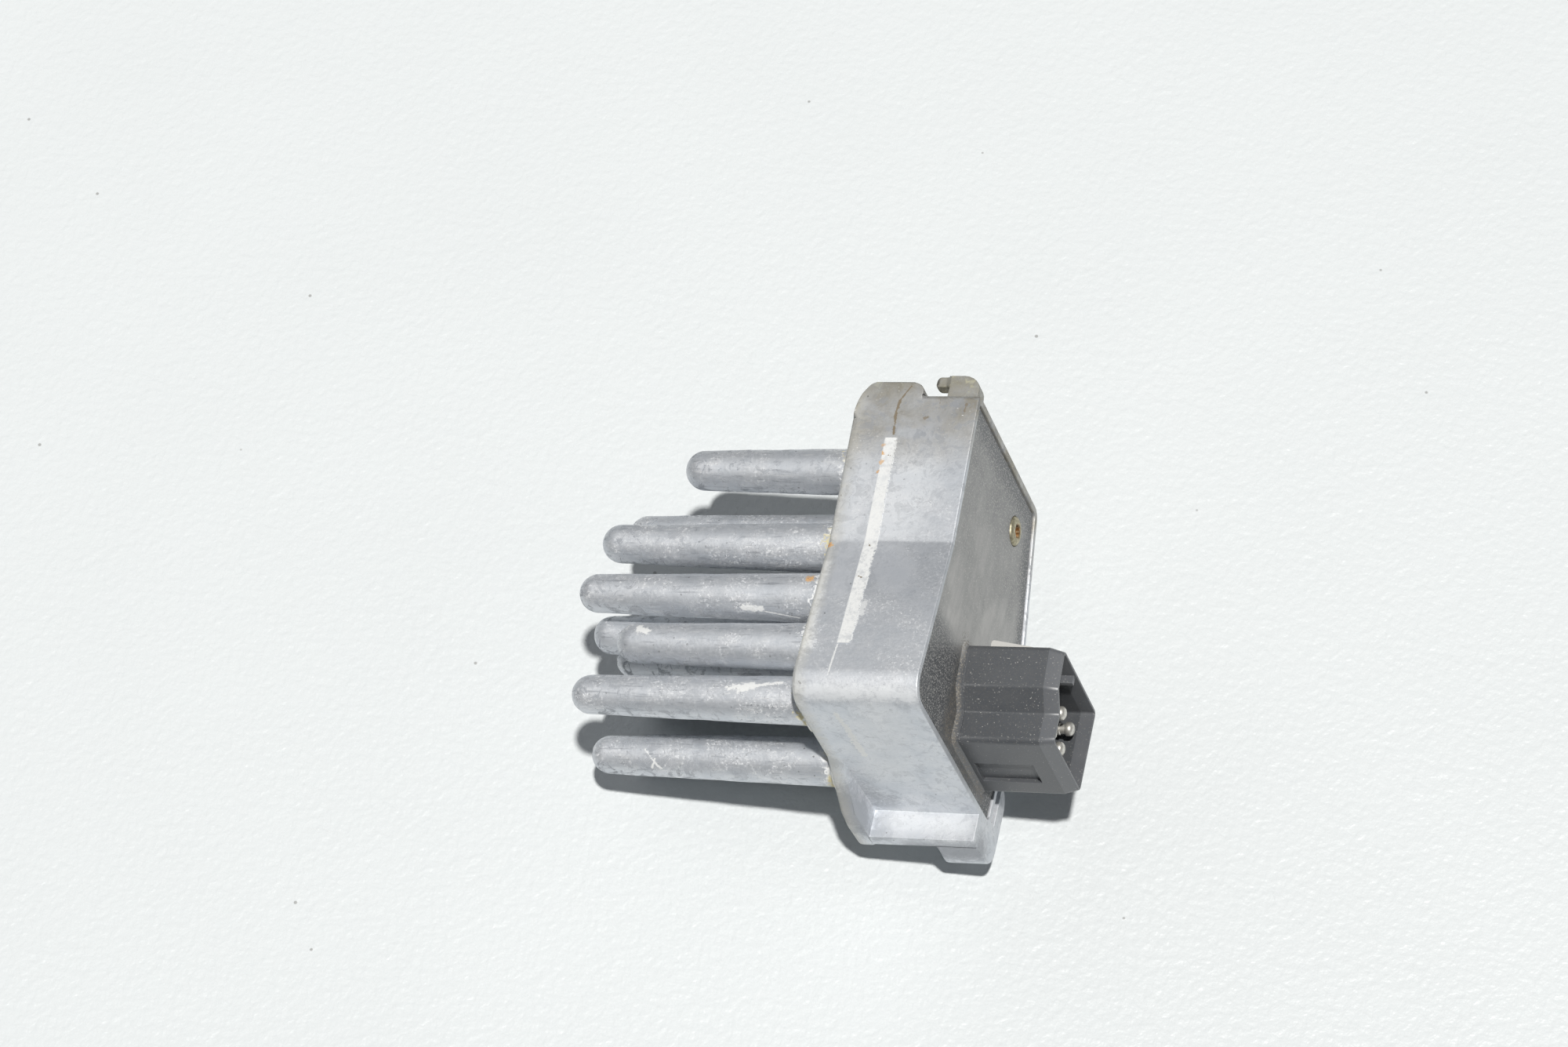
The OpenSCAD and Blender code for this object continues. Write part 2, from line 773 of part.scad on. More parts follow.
// Capacitor can that lies below the board, with its two leads bent up through the board
module capacitor(side) {
    from_z = board_z + side * can_first;
    translate([can_x, can_y, from_z])
        mirror([0, 0, side > 0 ? 0 : 1]) {
            color("#3B4A66")
                cylinder(h = can_len, r = can_r);
            color("#2A2B2D")
                translate([0, 0, can_len])
                    cylinder(h = bung_t, r = can_r * 0.85);
            color("#C9C7C0")
            for (e = [-1, 1])
                translate([0, e * lead_pitch / 2, can_len + bung_t]) {
                    cylinder(h = lead_bend, r = lead_r);
                    translate([0, 0, lead_bend])
                        sphere(r = lead_r);
                    translate([0, 0, lead_bend])
                        rotate([0, 90, 0])
                            cylinder(h = board_front + solder_out - can_x, r = lead_r);
                }
        }
}

// Flat resistor bridge that measures the motor current
module shunt_bridge() {
    low_z = -14;
    foot = 2.4;
    rise = 1.6;
    strip = 0.8;
    width = 4.8;
    span = 12;
    color("#B28B5E")
    translate([board_front, board_y - width / 2, low_z])
        difference() {
            cube([rise, width, span]);
            translate([-cut, -cut, foot])
                cube([rise - strip + cut, width + 2 * cut, span - 2 * foot]);
        }
}

module amplifier_chip() {
    size = [1.5, 3.9, 4.9];
    lead = 1;
    lead_w = 0.4;
    lead_step = 1.27;
    seat = 0.1;
    color("#26282B")
    translate([board_front, board_y + 12, 0]) {
        translate([seat, 0, 0])
            cube(size);
        for (k = [0 : 3])
            translate([0, -lead, k * lead_step + lead_w])
                cube([lead_w, size[1] + 2 * lead, lead_w]);
    }
}

module flyback_diode() {
    size = [2.2, 4, 5];
    tab = 0.8;
    tab_t = 0.5;
    color("#26282B")
    translate([board_front, board_y - 3, 8]) {
        cube(size);
        translate([0, size[1] * 0.2, -tab])
            cube([tab_t, size[1] * 0.6, size[2] + 2 * tab]);
    }
}

heat_sink();
cover();
cover_gasket();
cover_screw();
terminal(1);  // terminal_1
terminal(2);  // terminal_2
terminal(3);  // terminal_3
terminal(4);  // terminal_4
terminal(5);  // terminal_5
circuit_board();
transistor(1);  // transistor_1
transistor(-1);  // transistor_2
transistor_legs(1);  // transistor_legs_1
transistor_legs(-1);  // transistor_legs_2
insulating_pad(1);  // insulating_pad_1
insulating_pad(-1);  // insulating_pad_2
clamp_bar();
clamp_screw();
capacitor(1);  // capacitor_1
capacitor(-1);  // capacitor_2
shunt_bridge();
amplifier_chip();
flyback_diode();
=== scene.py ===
import math
import bpy
import bmesh
from mathutils import Matrix, Vector, noise
from mathutils.bvhtree import BVHTree


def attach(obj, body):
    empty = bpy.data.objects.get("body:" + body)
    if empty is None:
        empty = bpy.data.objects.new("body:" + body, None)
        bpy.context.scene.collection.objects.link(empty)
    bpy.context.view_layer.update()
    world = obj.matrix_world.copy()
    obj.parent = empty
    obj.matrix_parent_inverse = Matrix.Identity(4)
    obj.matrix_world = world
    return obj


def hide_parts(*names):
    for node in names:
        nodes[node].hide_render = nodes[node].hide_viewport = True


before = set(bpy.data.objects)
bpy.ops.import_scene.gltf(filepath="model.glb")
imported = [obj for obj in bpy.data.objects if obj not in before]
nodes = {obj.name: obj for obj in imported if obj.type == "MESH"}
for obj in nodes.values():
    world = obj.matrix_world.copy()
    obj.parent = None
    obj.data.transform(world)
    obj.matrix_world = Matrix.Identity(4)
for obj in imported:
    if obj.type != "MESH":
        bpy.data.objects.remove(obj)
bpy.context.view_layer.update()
scene = bpy.context.scene
mm = 0.001
print("frame loaded:", len(nodes), "nodes")

# camera first: everything else is placed by the frame, not by the camera
cameraView = {
    "aim": (-34.5, 6.49, 19.82),  # mm, a point on the line of sight
    "azimuth": 36.82,  # degrees from -Y towards +X
    "elevation": 52.32,
    "roll": -29.74,
    "distance": 900,
    "lens": 112.88,
    "sensor": 36,
}


def makeCamera(view):
    az, el, roll = (math.radians(view[k]) for k in ("azimuth", "elevation", "roll"))
    back = Vector((math.cos(el) * math.sin(az), -math.cos(el) * math.cos(az), math.sin(el)))
    level = Vector((math.cos(az), math.sin(az), 0))
    right = level * math.cos(roll) + back.cross(level) * math.sin(roll)
    up = back.cross(right)
    place = (Vector(view["aim"]) + back * view["distance"]) * mm
    lens = bpy.data.cameras.new("photoCamera")
    lens.lens = view["lens"]
    lens.sensor_width = view["sensor"]
    lens.sensor_fit = "HORIZONTAL"
    lens.clip_start = 0.01
    lens.clip_end = 20
    camera = bpy.data.objects.new("photoCamera", lens)
    turn = Matrix((right, up, back)).transposed().to_4x4()
    camera.matrix_world = Matrix.Translation(place) @ turn
    scene.collection.objects.link(camera)
    scene.camera = camera


makeCamera(cameraView)
print("camera placed")


def linear(hexText, alpha=1.0):
    channels = []
    for k in (1, 3, 5):
        c = int(hexText[k:k + 2], 16) / 255
        channels.append(c / 12.92 if c <= 0.04045 else ((c + 0.055) / 1.055) ** 2.4)
    return (*channels, alpha)


def setInputs(tree, node, inputs):
    # a node given as a value stands for its first output in use
    for key, value in inputs.items():
        if isinstance(value, bpy.types.Node):
            value = next(socket for socket in value.outputs if socket.enabled)
        if isinstance(value, bpy.types.NodeSocket):
            tree.links.new(value, node.inputs[key])
        else:
            node.inputs[key].default_value = value


def addNode(tree, kind, inputs=None, **settings):
    node = tree.nodes.new("ShaderNode" + kind)
    for key, value in settings.items():
        setattr(node, key, value)
    setInputs(tree, node, inputs or {})
    return node


def startMaterial(name):
    material = bpy.data.materials.new(name)
    material.use_nodes = True
    tree = material.node_tree
    tree.nodes.clear()
    shader = addNode(tree, "BsdfPrincipled")
    addNode(tree, "OutputMaterial", {"Surface": shader})
    where = addNode(tree, "TexCoord")
    # object space in millimetres, so that every scale below is a real size
    place = addNode(tree, "VectorMath", {0: where.outputs["Object"], 3: 1000.0}, operation="SCALE")
    return material, tree, shader, place.outputs[0]


# Die-cast aluminium after years in damp air: blue-grey metal in soft clouds, with white and dark
# flecks, fine pits, oxide grains and dull smudges. The gate is sawn bright, the pin roots bloom
# white, and thin yellow grime and a few rust spots lie along the edge beside the pins.
castAluminium = {
    "metal": "#D6DADF",
    "metalPale": "#E7E9EC",
    "warm": "#ADA99F",  # thin film on the free end and beside the pins
    "smudge": "#8C9198",
    "oxide": "#F3F4F4",
    "crust": "#D9CFA2",  # yellowed oxide between the pin roots
    "pit": "#5F6061",
    "sawn": "#ECEDEC",
    "highlightPale": "#F1F3F4",  # painted highlight: pale where light catches the corners, rounds and the shelf
    # darker grey for smears, and for painted shade below the bend and on the ramp and lug side
    "smear": "#A3A7AD",
    "grime": "#BDB7A2",
    "rust": "#DDAB5F",
    "rustCore": "#BE7B3C",
    "seam": "#857A69",
    "olive": "#918E7F",
    "flash": "#CFC9A6",
    "cloudMm": 6.5,
    "mottleMm": 1.7,
    "smudgeMm": 2.4,
    "speckMm": 0.6,
    "fleckMm": 0.85,  # curl of the white scratches, drawn wider than the real hairlines so that they show
    "pitMm": 2.2,  # spacing of the pits
    "grainMm": 1.3,  # spacing of the white grains
    "skinMm": 0.5,  # orange peel of the die face
    "bodyRoughness": 0.6,
    "pinRoughness": 0.6,
    "gate": {"x": -15.6, "half": 1.26, "narrow": 0.12, "low": -21.0, "high": 22.6, "top": 21.3},
    # soft patches: from, to, radius in mm, strength. The first list is painted highlights, pale where light
    # catches corners, rounds, the shelf and the wall above the bend; the second holds dark smears, with painted
    # shade among them
    "paintedHighlights": [
        ((-22.0, -30.9, 23.4), (-1.5, -30.9, 23.2), 1.9, 0.6),
        ((-15.5, -34.2, -18.4), (-3.0, -34.2, -18.4), 2.6, 0.4),
        ((-13.0, 3.5, 22.8), (-10.0, 14.0, 23.4), 5.0, 0.3),
        ((-14.0, -31.8, -2.0), (-8.0, -31.8, 18.0), 5.0, 0.3),
        ((-20.5, 3.0, 22.8), (-20.0, 17.0, 23.8), 3.0, 0.2),
        ((-23.0, -20.0, 23.4), (-23.6, -30.0, 21.0), 2.0, 0.75),
        ((-23.4, -4.0, 22.6), (-23.2, -18.0, 23.4), 1.3, 0.6),
    ],
    "smearsAndShade": [
        # below the bend and on the ramp and lug side these are painted shade; the one at the free end is a real
        # smear
        ((-12.0, -1.5, 22.8), (-9.0, -6.0, 23.2), 3.2, 0.85),
        ((-20.2, -1.0, 22.8), (-19.2, -9.0, 23.4), 1.7, 0.55),
        ((-9.0, 24.0, 24.2), (-5.0, 29.0, 24.8), 2.2, 0.5),
        ((-22.5, -36.0, -9.0), (-19.0, -36.0, -14.0), 4.5, 0.95),
        ((-12.0, -37.4, -22.5), (-1.0, -37.4, -22.5), 3.4, 0.8),
    ],
    # rust: place in mm, radius in mm, strength
    "rustSpots": [
        ((-16.6, 19.4, 24.1), 0.55, 0.8), ((-16.9, 15.6, 23.8), 0.45, 0.75), ((-27.2, -4.9, 19.0), 0.95, 0.85),
        ((-23.4, 0.4, 22.2), 0.5, 0.8), ((-24.4, -4.6, 22.6), 0.5, 0.8),
        ((-16.7, 17.6, 23.8), 0.42, 0.6), ((-16.75, 20.9, 24.1), 0.36, 0.5),
    ],
    # pale scars, ground patches and broken oxide lines: from, to, radius in mm
    "scars": [
        ((-39.6, -9.8, 17.3), (-36.4, -10.2, 17.0), 0.7), ((-36.0, -10.4, 16.7), (-29.0, -10.9, 15.4), 0.16),
        ((-39.2, -26.2, 15.8), (-34.6, -25.8, 15.9), 0.9), ((-34.6, -25.8, 15.9), (-29.4, -24.7, 15.8), 0.4),
        ((-61.6, -29.2, -2.9), (-59.6, -31.1, -4.1), 0.24), ((-59.6, -31.1, -4.1), (-58.5, -31.9, -5.0), 0.2),
        ((-59.6, -30.6, -3.6), (-60.4, -31.9, -5.0), 0.18), ((-58.6, -15.7, 18.6), (-57.0, -16.4, 18.6), 0.85),
        ((-16.9, -31.8, 17.2), (-16.6, -31.8, 13.0), 0.5), ((-16.4, -31.8, 13.4), (-16.2, -31.8, 8.0), 0.62),
        ((-16.3, -31.8, 7.2), (-15.8, -31.8, 2.6), 0.7), ((-16.9, -28.0, 23.6), (-16.8, -31.6, 18.2), 0.14),
        ((-16.7, -21.4, 24.19), (-17.1, -29.5, 24.82), 0.16, 0.8),
        ((-13.6, -12.2, 23.48), (-14.0, -14.5, 23.65), 0.75, 0.6),
        ((-14.2, -14.5, 23.65), (-14.6, -18.5, 23.96), 0.45, 0.7),
        ((-24.6, -17.2, 21.6), (-24.9, -18.6, 20.8), 0.42), ((-24.9, -20.2, 19.4), (-25.2, -21.4, 18.0), 0.36),
        ((-25.4, -10.6, 18.4), (-25.2, -12.4, 19.4), 0.4),
        ((-14.8, -30.3, 23.7), (-13.4, -30.5, 23.6), 0.34, 0.7),
        ((-11.6, -31.0, 22.8), (-9.6, -31.2, 22.6), 0.3, 0.7),
    ],
    # thin dark seams beside the parting line, and nicks across the gate
    "seams": [
        ((-15.3, 23.3, 24.3), (-15.6, 27.9, 24.7), 0.26), ((-15.6, 27.9, 24.7), (-15.2, 30.3, 24.9), 0.22),
        ((-15.2, 30.3, 24.9), (-13.6, 33.3, 25.0), 0.18), ((-7.4, 28.6, 24.8), (-7.4, 31.4, 25.0), 0.08),
        ((-16.1, 1.0, 22.7), (-15.5, 0.3, 22.7), 0.14), ((-16.2, -6.4, 23.2), (-15.6, -6.6, 23.2), 0.15),
        ((-15.5, 18.9, 24.1), (-15.1, 18.8, 24.1), 0.13), ((-20.4, -14.2, 24.0), (-19.4, -14.9, 24.0), 0.1),
        ((-9.8, 26.6, 24.55), (-9.2, 26.9, 24.58), 0.34, 0.8),
        ((-2.4, 28.2, 24.7), (-2.2, 29.6, 24.8), 0.24, 0.8),
    ],
}


def makeCastAluminium(look):
    material, tree, shader, place = startMaterial("castAluminium")
    axes = addNode(tree, "SeparateXYZ", {0: place})
    x, y, z = axes.outputs
    cloud = addNode(tree, "TexNoise", {"Vector": place, "Scale": 1 / look["cloudMm"], "Detail": 5.0,
                                       "Roughness": 0.55, "Distortion": 0.4})
    flowed = addNode(tree, "VectorMath", {0: place, 1: (0.6, 1.0, 1.0)}, operation="MULTIPLY")
    mottle = addNode(tree, "TexNoise", {"Vector": flowed, "Scale": 1 / look["mottleMm"], "Detail": 7.0,
                                        "Roughness": 0.68, "Distortion": 0.5})
    speck = addNode(tree, "TexNoise", {"Vector": place, "Scale": 1 / look["speckMm"], "Detail": 3.0,
                                       "Roughness": 0.7})
    skin = addNode(tree, "TexNoise", {"Vector": place, "Scale": 1 / look["skinMm"], "Detail": 2.0})
    fleckField = addNode(tree, "TexNoise", {"Vector": place, "Scale": 1 / look["fleckMm"], "Detail": 4.0,
                                            "Roughness": 0.65, "Distortion": 1.1})
    mixed = addNode(tree, "Math", {0: mottle, 1: 0.8, 2: cloud}, operation="MULTIPLY_ADD")
    cloudy = addNode(tree, "MapRange", {0: mixed, 1: 0.7, 2: 1.16})
    colour = addNode(tree, "Mix", {0: cloudy, 6: linear(look["metal"]), 7: linear(look["metalPale"])},
                     data_type="RGBA")
    # crisp white and dark flecks: broken curls in loose flocks
    broken = addNode(tree, "MapRange", {0: speck, 1: 0.5, 2: 0.57})
    onPins = addNode(tree, "MapRange", {0: x, 1: -24.0, 2: -26.0})
    fleckShare = addNode(tree, "MapRange", {0: onPins, 3: 0.5, 4: 1.0})
    fleckClouds = addNode(tree, "MapRange", {0: cloud, 1: 0.46, 2: 0.58, 3: 0.06, 4: 1.0})
    fleckFlock = addNode(tree, "Math", {0: fleckClouds, 1: fleckShare}, operation="MULTIPLY")
    flecks = {}
    for kind, level, wide in (("white", 0.53, 0.034), ("dark", 0.4, 0.03)):
        offLevel = addNode(tree, "Math", {0: fleckField, 1: level}, operation="SUBTRACT")
        lineAway = addNode(tree, "Math", {0: offLevel}, operation="ABSOLUTE")
        line = addNode(tree, "MapRange", {0: lineAway, 1: wide, 2: wide * 0.4})
        line = addNode(tree, "Math", {0: line, 1: broken}, operation="MULTIPLY")
        flecks[kind] = addNode(tree, "Math", {0: line, 1: fleckFlock}, operation="MULTIPLY")
    whiteFleck = addNode(tree, "Math", {0: flecks["white"], 1: 0.85}, operation="MULTIPLY")
    colour = addNode(tree, "Mix", {0: whiteFleck, 6: colour, 7: linear(look["oxide"])}, data_type="RGBA")
    # warm film on the free end, in clouds
    filmBand = addNode(tree, "MapRange", {0: y, 1: 15.0, 2: 28.0})
    filmWave = addNode(tree, "MapRange", {0: cloud, 1: 0.35, 2: 0.6, 3: 0.35, 4: 1.0})
    film = addNode(tree, "Math", {0: filmBand, 1: filmWave}, operation="MULTIPLY")
    offPins = addNode(tree, "MapRange", {0: onPins, 3: 1.0, 4: 0.15})
    film = addNode(tree, "Math", {0: film, 1: offPins}, operation="MULTIPLY")
    colour = addNode(tree, "Mix", {0: film, 6: colour, 7: linear(look["warm"])}, data_type="RGBA")
    # dark smudges with torn edges, thickest towards the pin tips and on the free end
    smudgeField = addNode(tree, "TexNoise", {"Vector": place, "Scale": 1 / look["smudgeMm"], "Detail": 6.0,
                                             "Roughness": 0.72, "Distortion": 0.9})
    tipward = addNode(tree, "MapRange", {0: x, 1: -34.0, 2: -72.0, 3: 0.06, 4: 0.6})
    endward = addNode(tree, "MapRange", {0: y, 1: -2.0, 2: 33.0, 3: 0.12, 4: 0.55})
    smudgeShare = addNode(tree, "Math", {0: tipward, 1: endward}, operation="ADD")
    smudgeCore = addNode(tree, "MapRange", {0: smudgeField, 1: 0.52, 2: 0.58})
    smudge = addNode(tree, "Math", {0: smudgeCore, 1: smudgeShare}, operation="MULTIPLY")
    colour = addNode(tree, "Mix", {0: smudge, 6: colour, 7: linear(look["smudge"])}, data_type="RGBA")
    # fine streaks along the pins, from drawing them out of the die
    drawn = addNode(tree, "VectorMath", {0: place, 1: (0.16, 1.7, 1.7)}, operation="MULTIPLY")
    streak = addNode(tree, "TexNoise", {"Vector": drawn, "Scale": 1.0, "Detail": 3.0, "Roughness": 0.6})
    streakMask = addNode(tree, "MapRange", {0: streak, 1: 0.6, 2: 0.72, 4: 0.55})
    streaks = addNode(tree, "Math", {0: streakMask, 1: onPins}, operation="MULTIPLY")
    colour = addNode(tree, "Mix", {0: streaks, 6: colour, 7: linear(look["oxide"])}, data_type="RGBA")
    darkStreak = addNode(tree, "MapRange", {0: streak, 1: 0.4, 2: 0.32, 4: 0.4})
    darkStreaks = addNode(tree, "Math", {0: darkStreak, 1: onPins}, operation="MULTIPLY")
    colour = addNode(tree, "Mix", {0: darkStreaks, 6: colour, 7: linear(look["smudge"])}, data_type="RGBA")
    # white grains and dark pits stand in loose flocks where the clouds run high
    slanted = addNode(tree, "Mapping", {"Vector": place, "Rotation": (0.4, 0.3, 0.7), "Scale": (1.0, 2.1, 1.5)})
    grains = addNode(tree, "TexVoronoi", {"Vector": slanted, "Scale": 1 / look["grainMm"]}, feature="F1")
    grainEdge = addNode(tree, "Math", {0: speck, 1: -0.35, 2: grains}, operation="MULTIPLY_ADD")
    grainMask = addNode(tree, "MapRange", {0: grainEdge, 1: -0.03, 2: -0.1})
    flock = addNode(tree, "MapRange", {0: cloud, 1: 0.47, 2: 0.6, 4: 0.75})
    grainSpread = addNode(tree, "Math", {0: grainMask, 1: flock}, operation="MULTIPLY")
    colour = addNode(tree, "Mix", {0: grainSpread, 6: colour, 7: linear(look["oxide"])}, data_type="RGBA")
    shifted = addNode(tree, "VectorMath", {0: place, 1: (31.0, 17.0, 5.0)}, operation="ADD")
    pits = addNode(tree, "TexVoronoi", {"Vector": shifted, "Scale": 1 / look["pitMm"]}, feature="F1")
    pitEdge = addNode(tree, "Math", {0: speck, 1: -0.3, 2: pits}, operation="MULTIPLY_ADD")
    pitMask = addNode(tree, "MapRange", {0: pitEdge, 1: -0.05, 2: -0.1, 4: 0.6})
    sparse = addNode(tree, "MapRange", {0: cloud, 1: 0.52, 2: 0.42})
    pitSpread = addNode(tree, "Math", {0: pitMask, 1: sparse}, operation="MULTIPLY")
    colour = addNode(tree, "Mix", {0: pitSpread, 6: colour, 7: linear(look["pit"])}, data_type="RGBA")
    # scars, seams and rust: soft capsules between two points, with ragged edges
    torn = addNode(tree, "Math", {0: mottle, 1: 1.1, 2: speck}, operation="MULTIPLY_ADD")
    wobble = addNode(tree, "MapRange", {0: torn, 1: 0.75, 2: 1.35, 3: -0.9, 4: 0.9})
    masks = {}
    spots = [(c, c, r, k) for c, r, k in look["rustSpots"]]
    # kind, marks, raggedness, outer and inner edge as shares of the radius
    groups = (("scar", look["scars"], 1.0, 1.1, 0.7), ("seam", look["seams"], 1.0, 1.1, 0.7),
              ("rust", spots, 1.0, 1.1, 0.7), ("highlight", look["paintedHighlights"], 0.8, 1.4, 0.4),
              ("smear", look["smearsAndShade"], 0.45, 1.4, 0.4))
    for kind, marks, rag, outer, inner in groups:
        for start, end, radius, *strength in marks:
            a, b = Vector(start), Vector(end)
            offset = addNode(tree, "VectorMath", {0: place, 1: a}, operation="SUBTRACT")
            if a != b:
                along = addNode(tree, "VectorMath", {0: offset, 1: (b - a) / (b - a).length_squared},
                                operation="DOT_PRODUCT")
                part = addNode(tree, "Clamp", {0: along})
                near = addNode(tree, "VectorMath", {0: b - a, 3: part}, operation="SCALE")
                offset = addNode(tree, "VectorMath", {0: offset, 1: near}, operation="SUBTRACT")
            away = addNode(tree, "VectorMath", {0: offset}, operation="LENGTH")
            ragged = addNode(tree, "Math", {0: wobble, 1: radius * rag, 2: away}, operation="MULTIPLY_ADD")
            spot = addNode(tree, "MapRange", {0: ragged, 1: radius * outer, 2: radius * inner,
                                              4: strength[0] if strength else 1.0})
            if kind in masks:
                spot = addNode(tree, "Math", {0: masks[kind], 1: spot}, operation="MAXIMUM")
            masks[kind] = spot
    # the smears with their painted shade, then the painted highlights
    for kind, hexText in (("smear", look["smear"]), ("highlight", look["highlightPale"])):
        colour = addNode(tree, "Mix", {0: masks[kind], 6: colour, 7: linear(hexText)}, data_type="RGBA")
    # painted shade where the bend turns the long wall from the light, and partly a darker smear: drawn darker
    # grey from the bend down, most beside the rim, fading out towards y = -20
    belowBend = addNode(tree, "MapRange", {0: y, 1: 1.7, 2: 1.3})
    bendShadeFade = addNode(tree, "MapRange", {0: y, 1: -20.0, 2: -6.0, 4: 0.42})
    onWall = addNode(tree, "Math", {0: z, 1: 21.3}, operation="GREATER_THAN")
    bendShade = addNode(tree, "Math", {0: belowBend, 1: bendShadeFade}, operation="MULTIPLY")
    bendShade = addNode(tree, "Math", {0: bendShade, 1: onWall}, operation="MULTIPLY")
    rimward = addNode(tree, "MapRange", {0: x, 1: -15.6, 2: -14.2, 3: 0.3, 4: 1.0})
    bendShade = addNode(tree, "Math", {0: bendShade, 1: rimward}, operation="MULTIPLY")
    colour = addNode(tree, "Mix", {0: bendShade, 6: colour, 7: linear(look["smear"])}, data_type="RGBA")
    # the sawn gate: bright, ragged at its edges, on the long bent wall alone
    gate = look["gate"]
    gateRag = addNode(tree, "MapRange", {0: torn, 1: 0.75, 2: 1.35, 3: -0.5, 4: 0.4})
    gateX = addNode(tree, "Math", {0: x, 1: gate["x"]}, operation="SUBTRACT")
    gateAway = addNode(tree, "Math", {0: gateX}, operation="ABSOLUTE")
    gateNarrow = addNode(tree, "MapRange", {0: y, 1: 6.0, 2: 16.0, 4: gate["narrow"]})
    gateEdge = addNode(tree, "Math", {0: gateAway, 1: gateNarrow}, operation="ADD")
    gateSide = addNode(tree, "MapRange", {0: gateX, 1: -0.2, 2: 0.2, 3: 0.12, 4: 1.0})
    gateTorn = addNode(tree, "Math", {0: gateRag, 1: gateSide}, operation="MULTIPLY")
    gateEdge = addNode(tree, "Math", {0: gateEdge, 1: gateTorn}, operation="ADD")
    gateAcross = addNode(tree, "MapRange", {0: gateEdge, 1: gate["half"] + 0.12, 2: gate["half"] - 0.12})
    gateLow = addNode(tree, "Math", {0: y, 1: gate["low"]}, operation="GREATER_THAN")
    gateHigh = addNode(tree, "Math", {0: y, 1: gate["high"]}, operation="LESS_THAN")
    gateTop = addNode(tree, "Math", {0: z, 1: gate["top"]}, operation="GREATER_THAN")
    gateMask = addNode(tree, "Math", {0: gateAcross, 1: gateLow}, operation="MULTIPLY")
    gateMask = addNode(tree, "Math", {0: gateMask, 1: gateHigh}, operation="MULTIPLY")
    gateMask = addNode(tree, "Math", {0: gateMask, 1: gateTop}, operation="MULTIPLY")
    gateWear = addNode(tree, "MapRange", {0: torn, 1: 0.85, 2: 1.1, 3: 0.6, 4: 1.0})
    gateMask = addNode(tree, "Math", {0: gateMask, 1: gateWear}, operation="MULTIPLY")
    pale = addNode(tree, "Math", {0: masks["scar"], 1: gateMask}, operation="MAXIMUM")
    colour = addNode(tree, "Mix", {0: pale, 6: colour, 7: linear(look["sawn"])}, data_type="RGBA")
    darkFleck = addNode(tree, "Math", {0: flecks["dark"], 1: 0.5}, operation="MULTIPLY")
    colour = addNode(tree, "Mix", {0: darkFleck, 6: colour, 7: linear(look["pit"])}, data_type="RGBA")
    # white bloom at the pin roots
    rootAway = addNode(tree, "Math", {0: x, 1: 25.2}, operation="ADD")
    rootNear = addNode(tree, "Math", {0: rootAway}, operation="ABSOLUTE")
    rootWave = addNode(tree, "Math", {0: fleckField, 1: -9.0, 2: rootNear}, operation="MULTIPLY_ADD")
    rootMask = addNode(tree, "MapRange", {0: rootWave, 1: -3.9, 2: -4.3, 4: 0.9})
    yellowed = addNode(tree, "MapRange", {0: cloud, 1: 0.48, 2: 0.56})
    bloom = addNode(tree, "Mix", {0: yellowed, 6: linear(look["oxide"]), 7: linear(look["crust"])},
                    data_type="RGBA")
    colour = addNode(tree, "Mix", {0: rootMask, 6: colour, 7: bloom}, data_type="RGBA")
    # thin yellow grime in the band beside the pins
    grimeBand = addNode(tree, "Math", {0: x, 1: 23.4}, operation="ADD")
    grimeAway = addNode(tree, "Math", {0: grimeBand}, operation="ABSOLUTE")
    grimeWave = addNode(tree, "Math", {0: mottle, 1: -3.2, 2: grimeAway}, operation="MULTIPLY_ADD")
    grimeMask = addNode(tree, "MapRange", {0: grimeWave, 1: 0.9, 2: -2.3, 4: 0.42})
    colour = addNode(tree, "Mix", {0: grimeMask, 6: colour, 7: linear(look["grime"])}, data_type="RGBA")
    # olive bloom on the hook and the lip at the free end
    endBand = addNode(tree, "MapRange", {0: y, 1: 30.0, 2: 36.0, 4: 0.62})
    endWave = addNode(tree, "MapRange", {0: torn, 1: 0.8, 2: 1.15, 3: 0.25, 4: 1.0})
    endMask = addNode(tree, "Math", {0: endBand, 1: endWave}, operation="MULTIPLY")
    flashes = addNode(tree, "MapRange", {0: smudgeField, 1: 0.54, 2: 0.6})
    olive = addNode(tree, "Mix", {0: flashes, 6: linear(look["olive"]), 7: linear(look["flash"])},
                    data_type="RGBA")
    colour = addNode(tree, "Mix", {0: endMask, 6: colour, 7: olive}, data_type="RGBA")
    colour = addNode(tree, "Mix", {0: masks["seam"], 6: colour, 7: linear(look["seam"])}, data_type="RGBA")
    rustShade = addNode(tree, "MapRange", {0: speck, 1: 0.5, 2: 0.62})
    rust = addNode(tree, "Mix", {0: rustShade, 6: linear(look["rust"]), 7: linear(look["rustCore"])},
                   data_type="RGBA")
    colour = addNode(tree, "Mix", {0: masks["rust"], 6: colour, 7: rust}, data_type="RGBA")
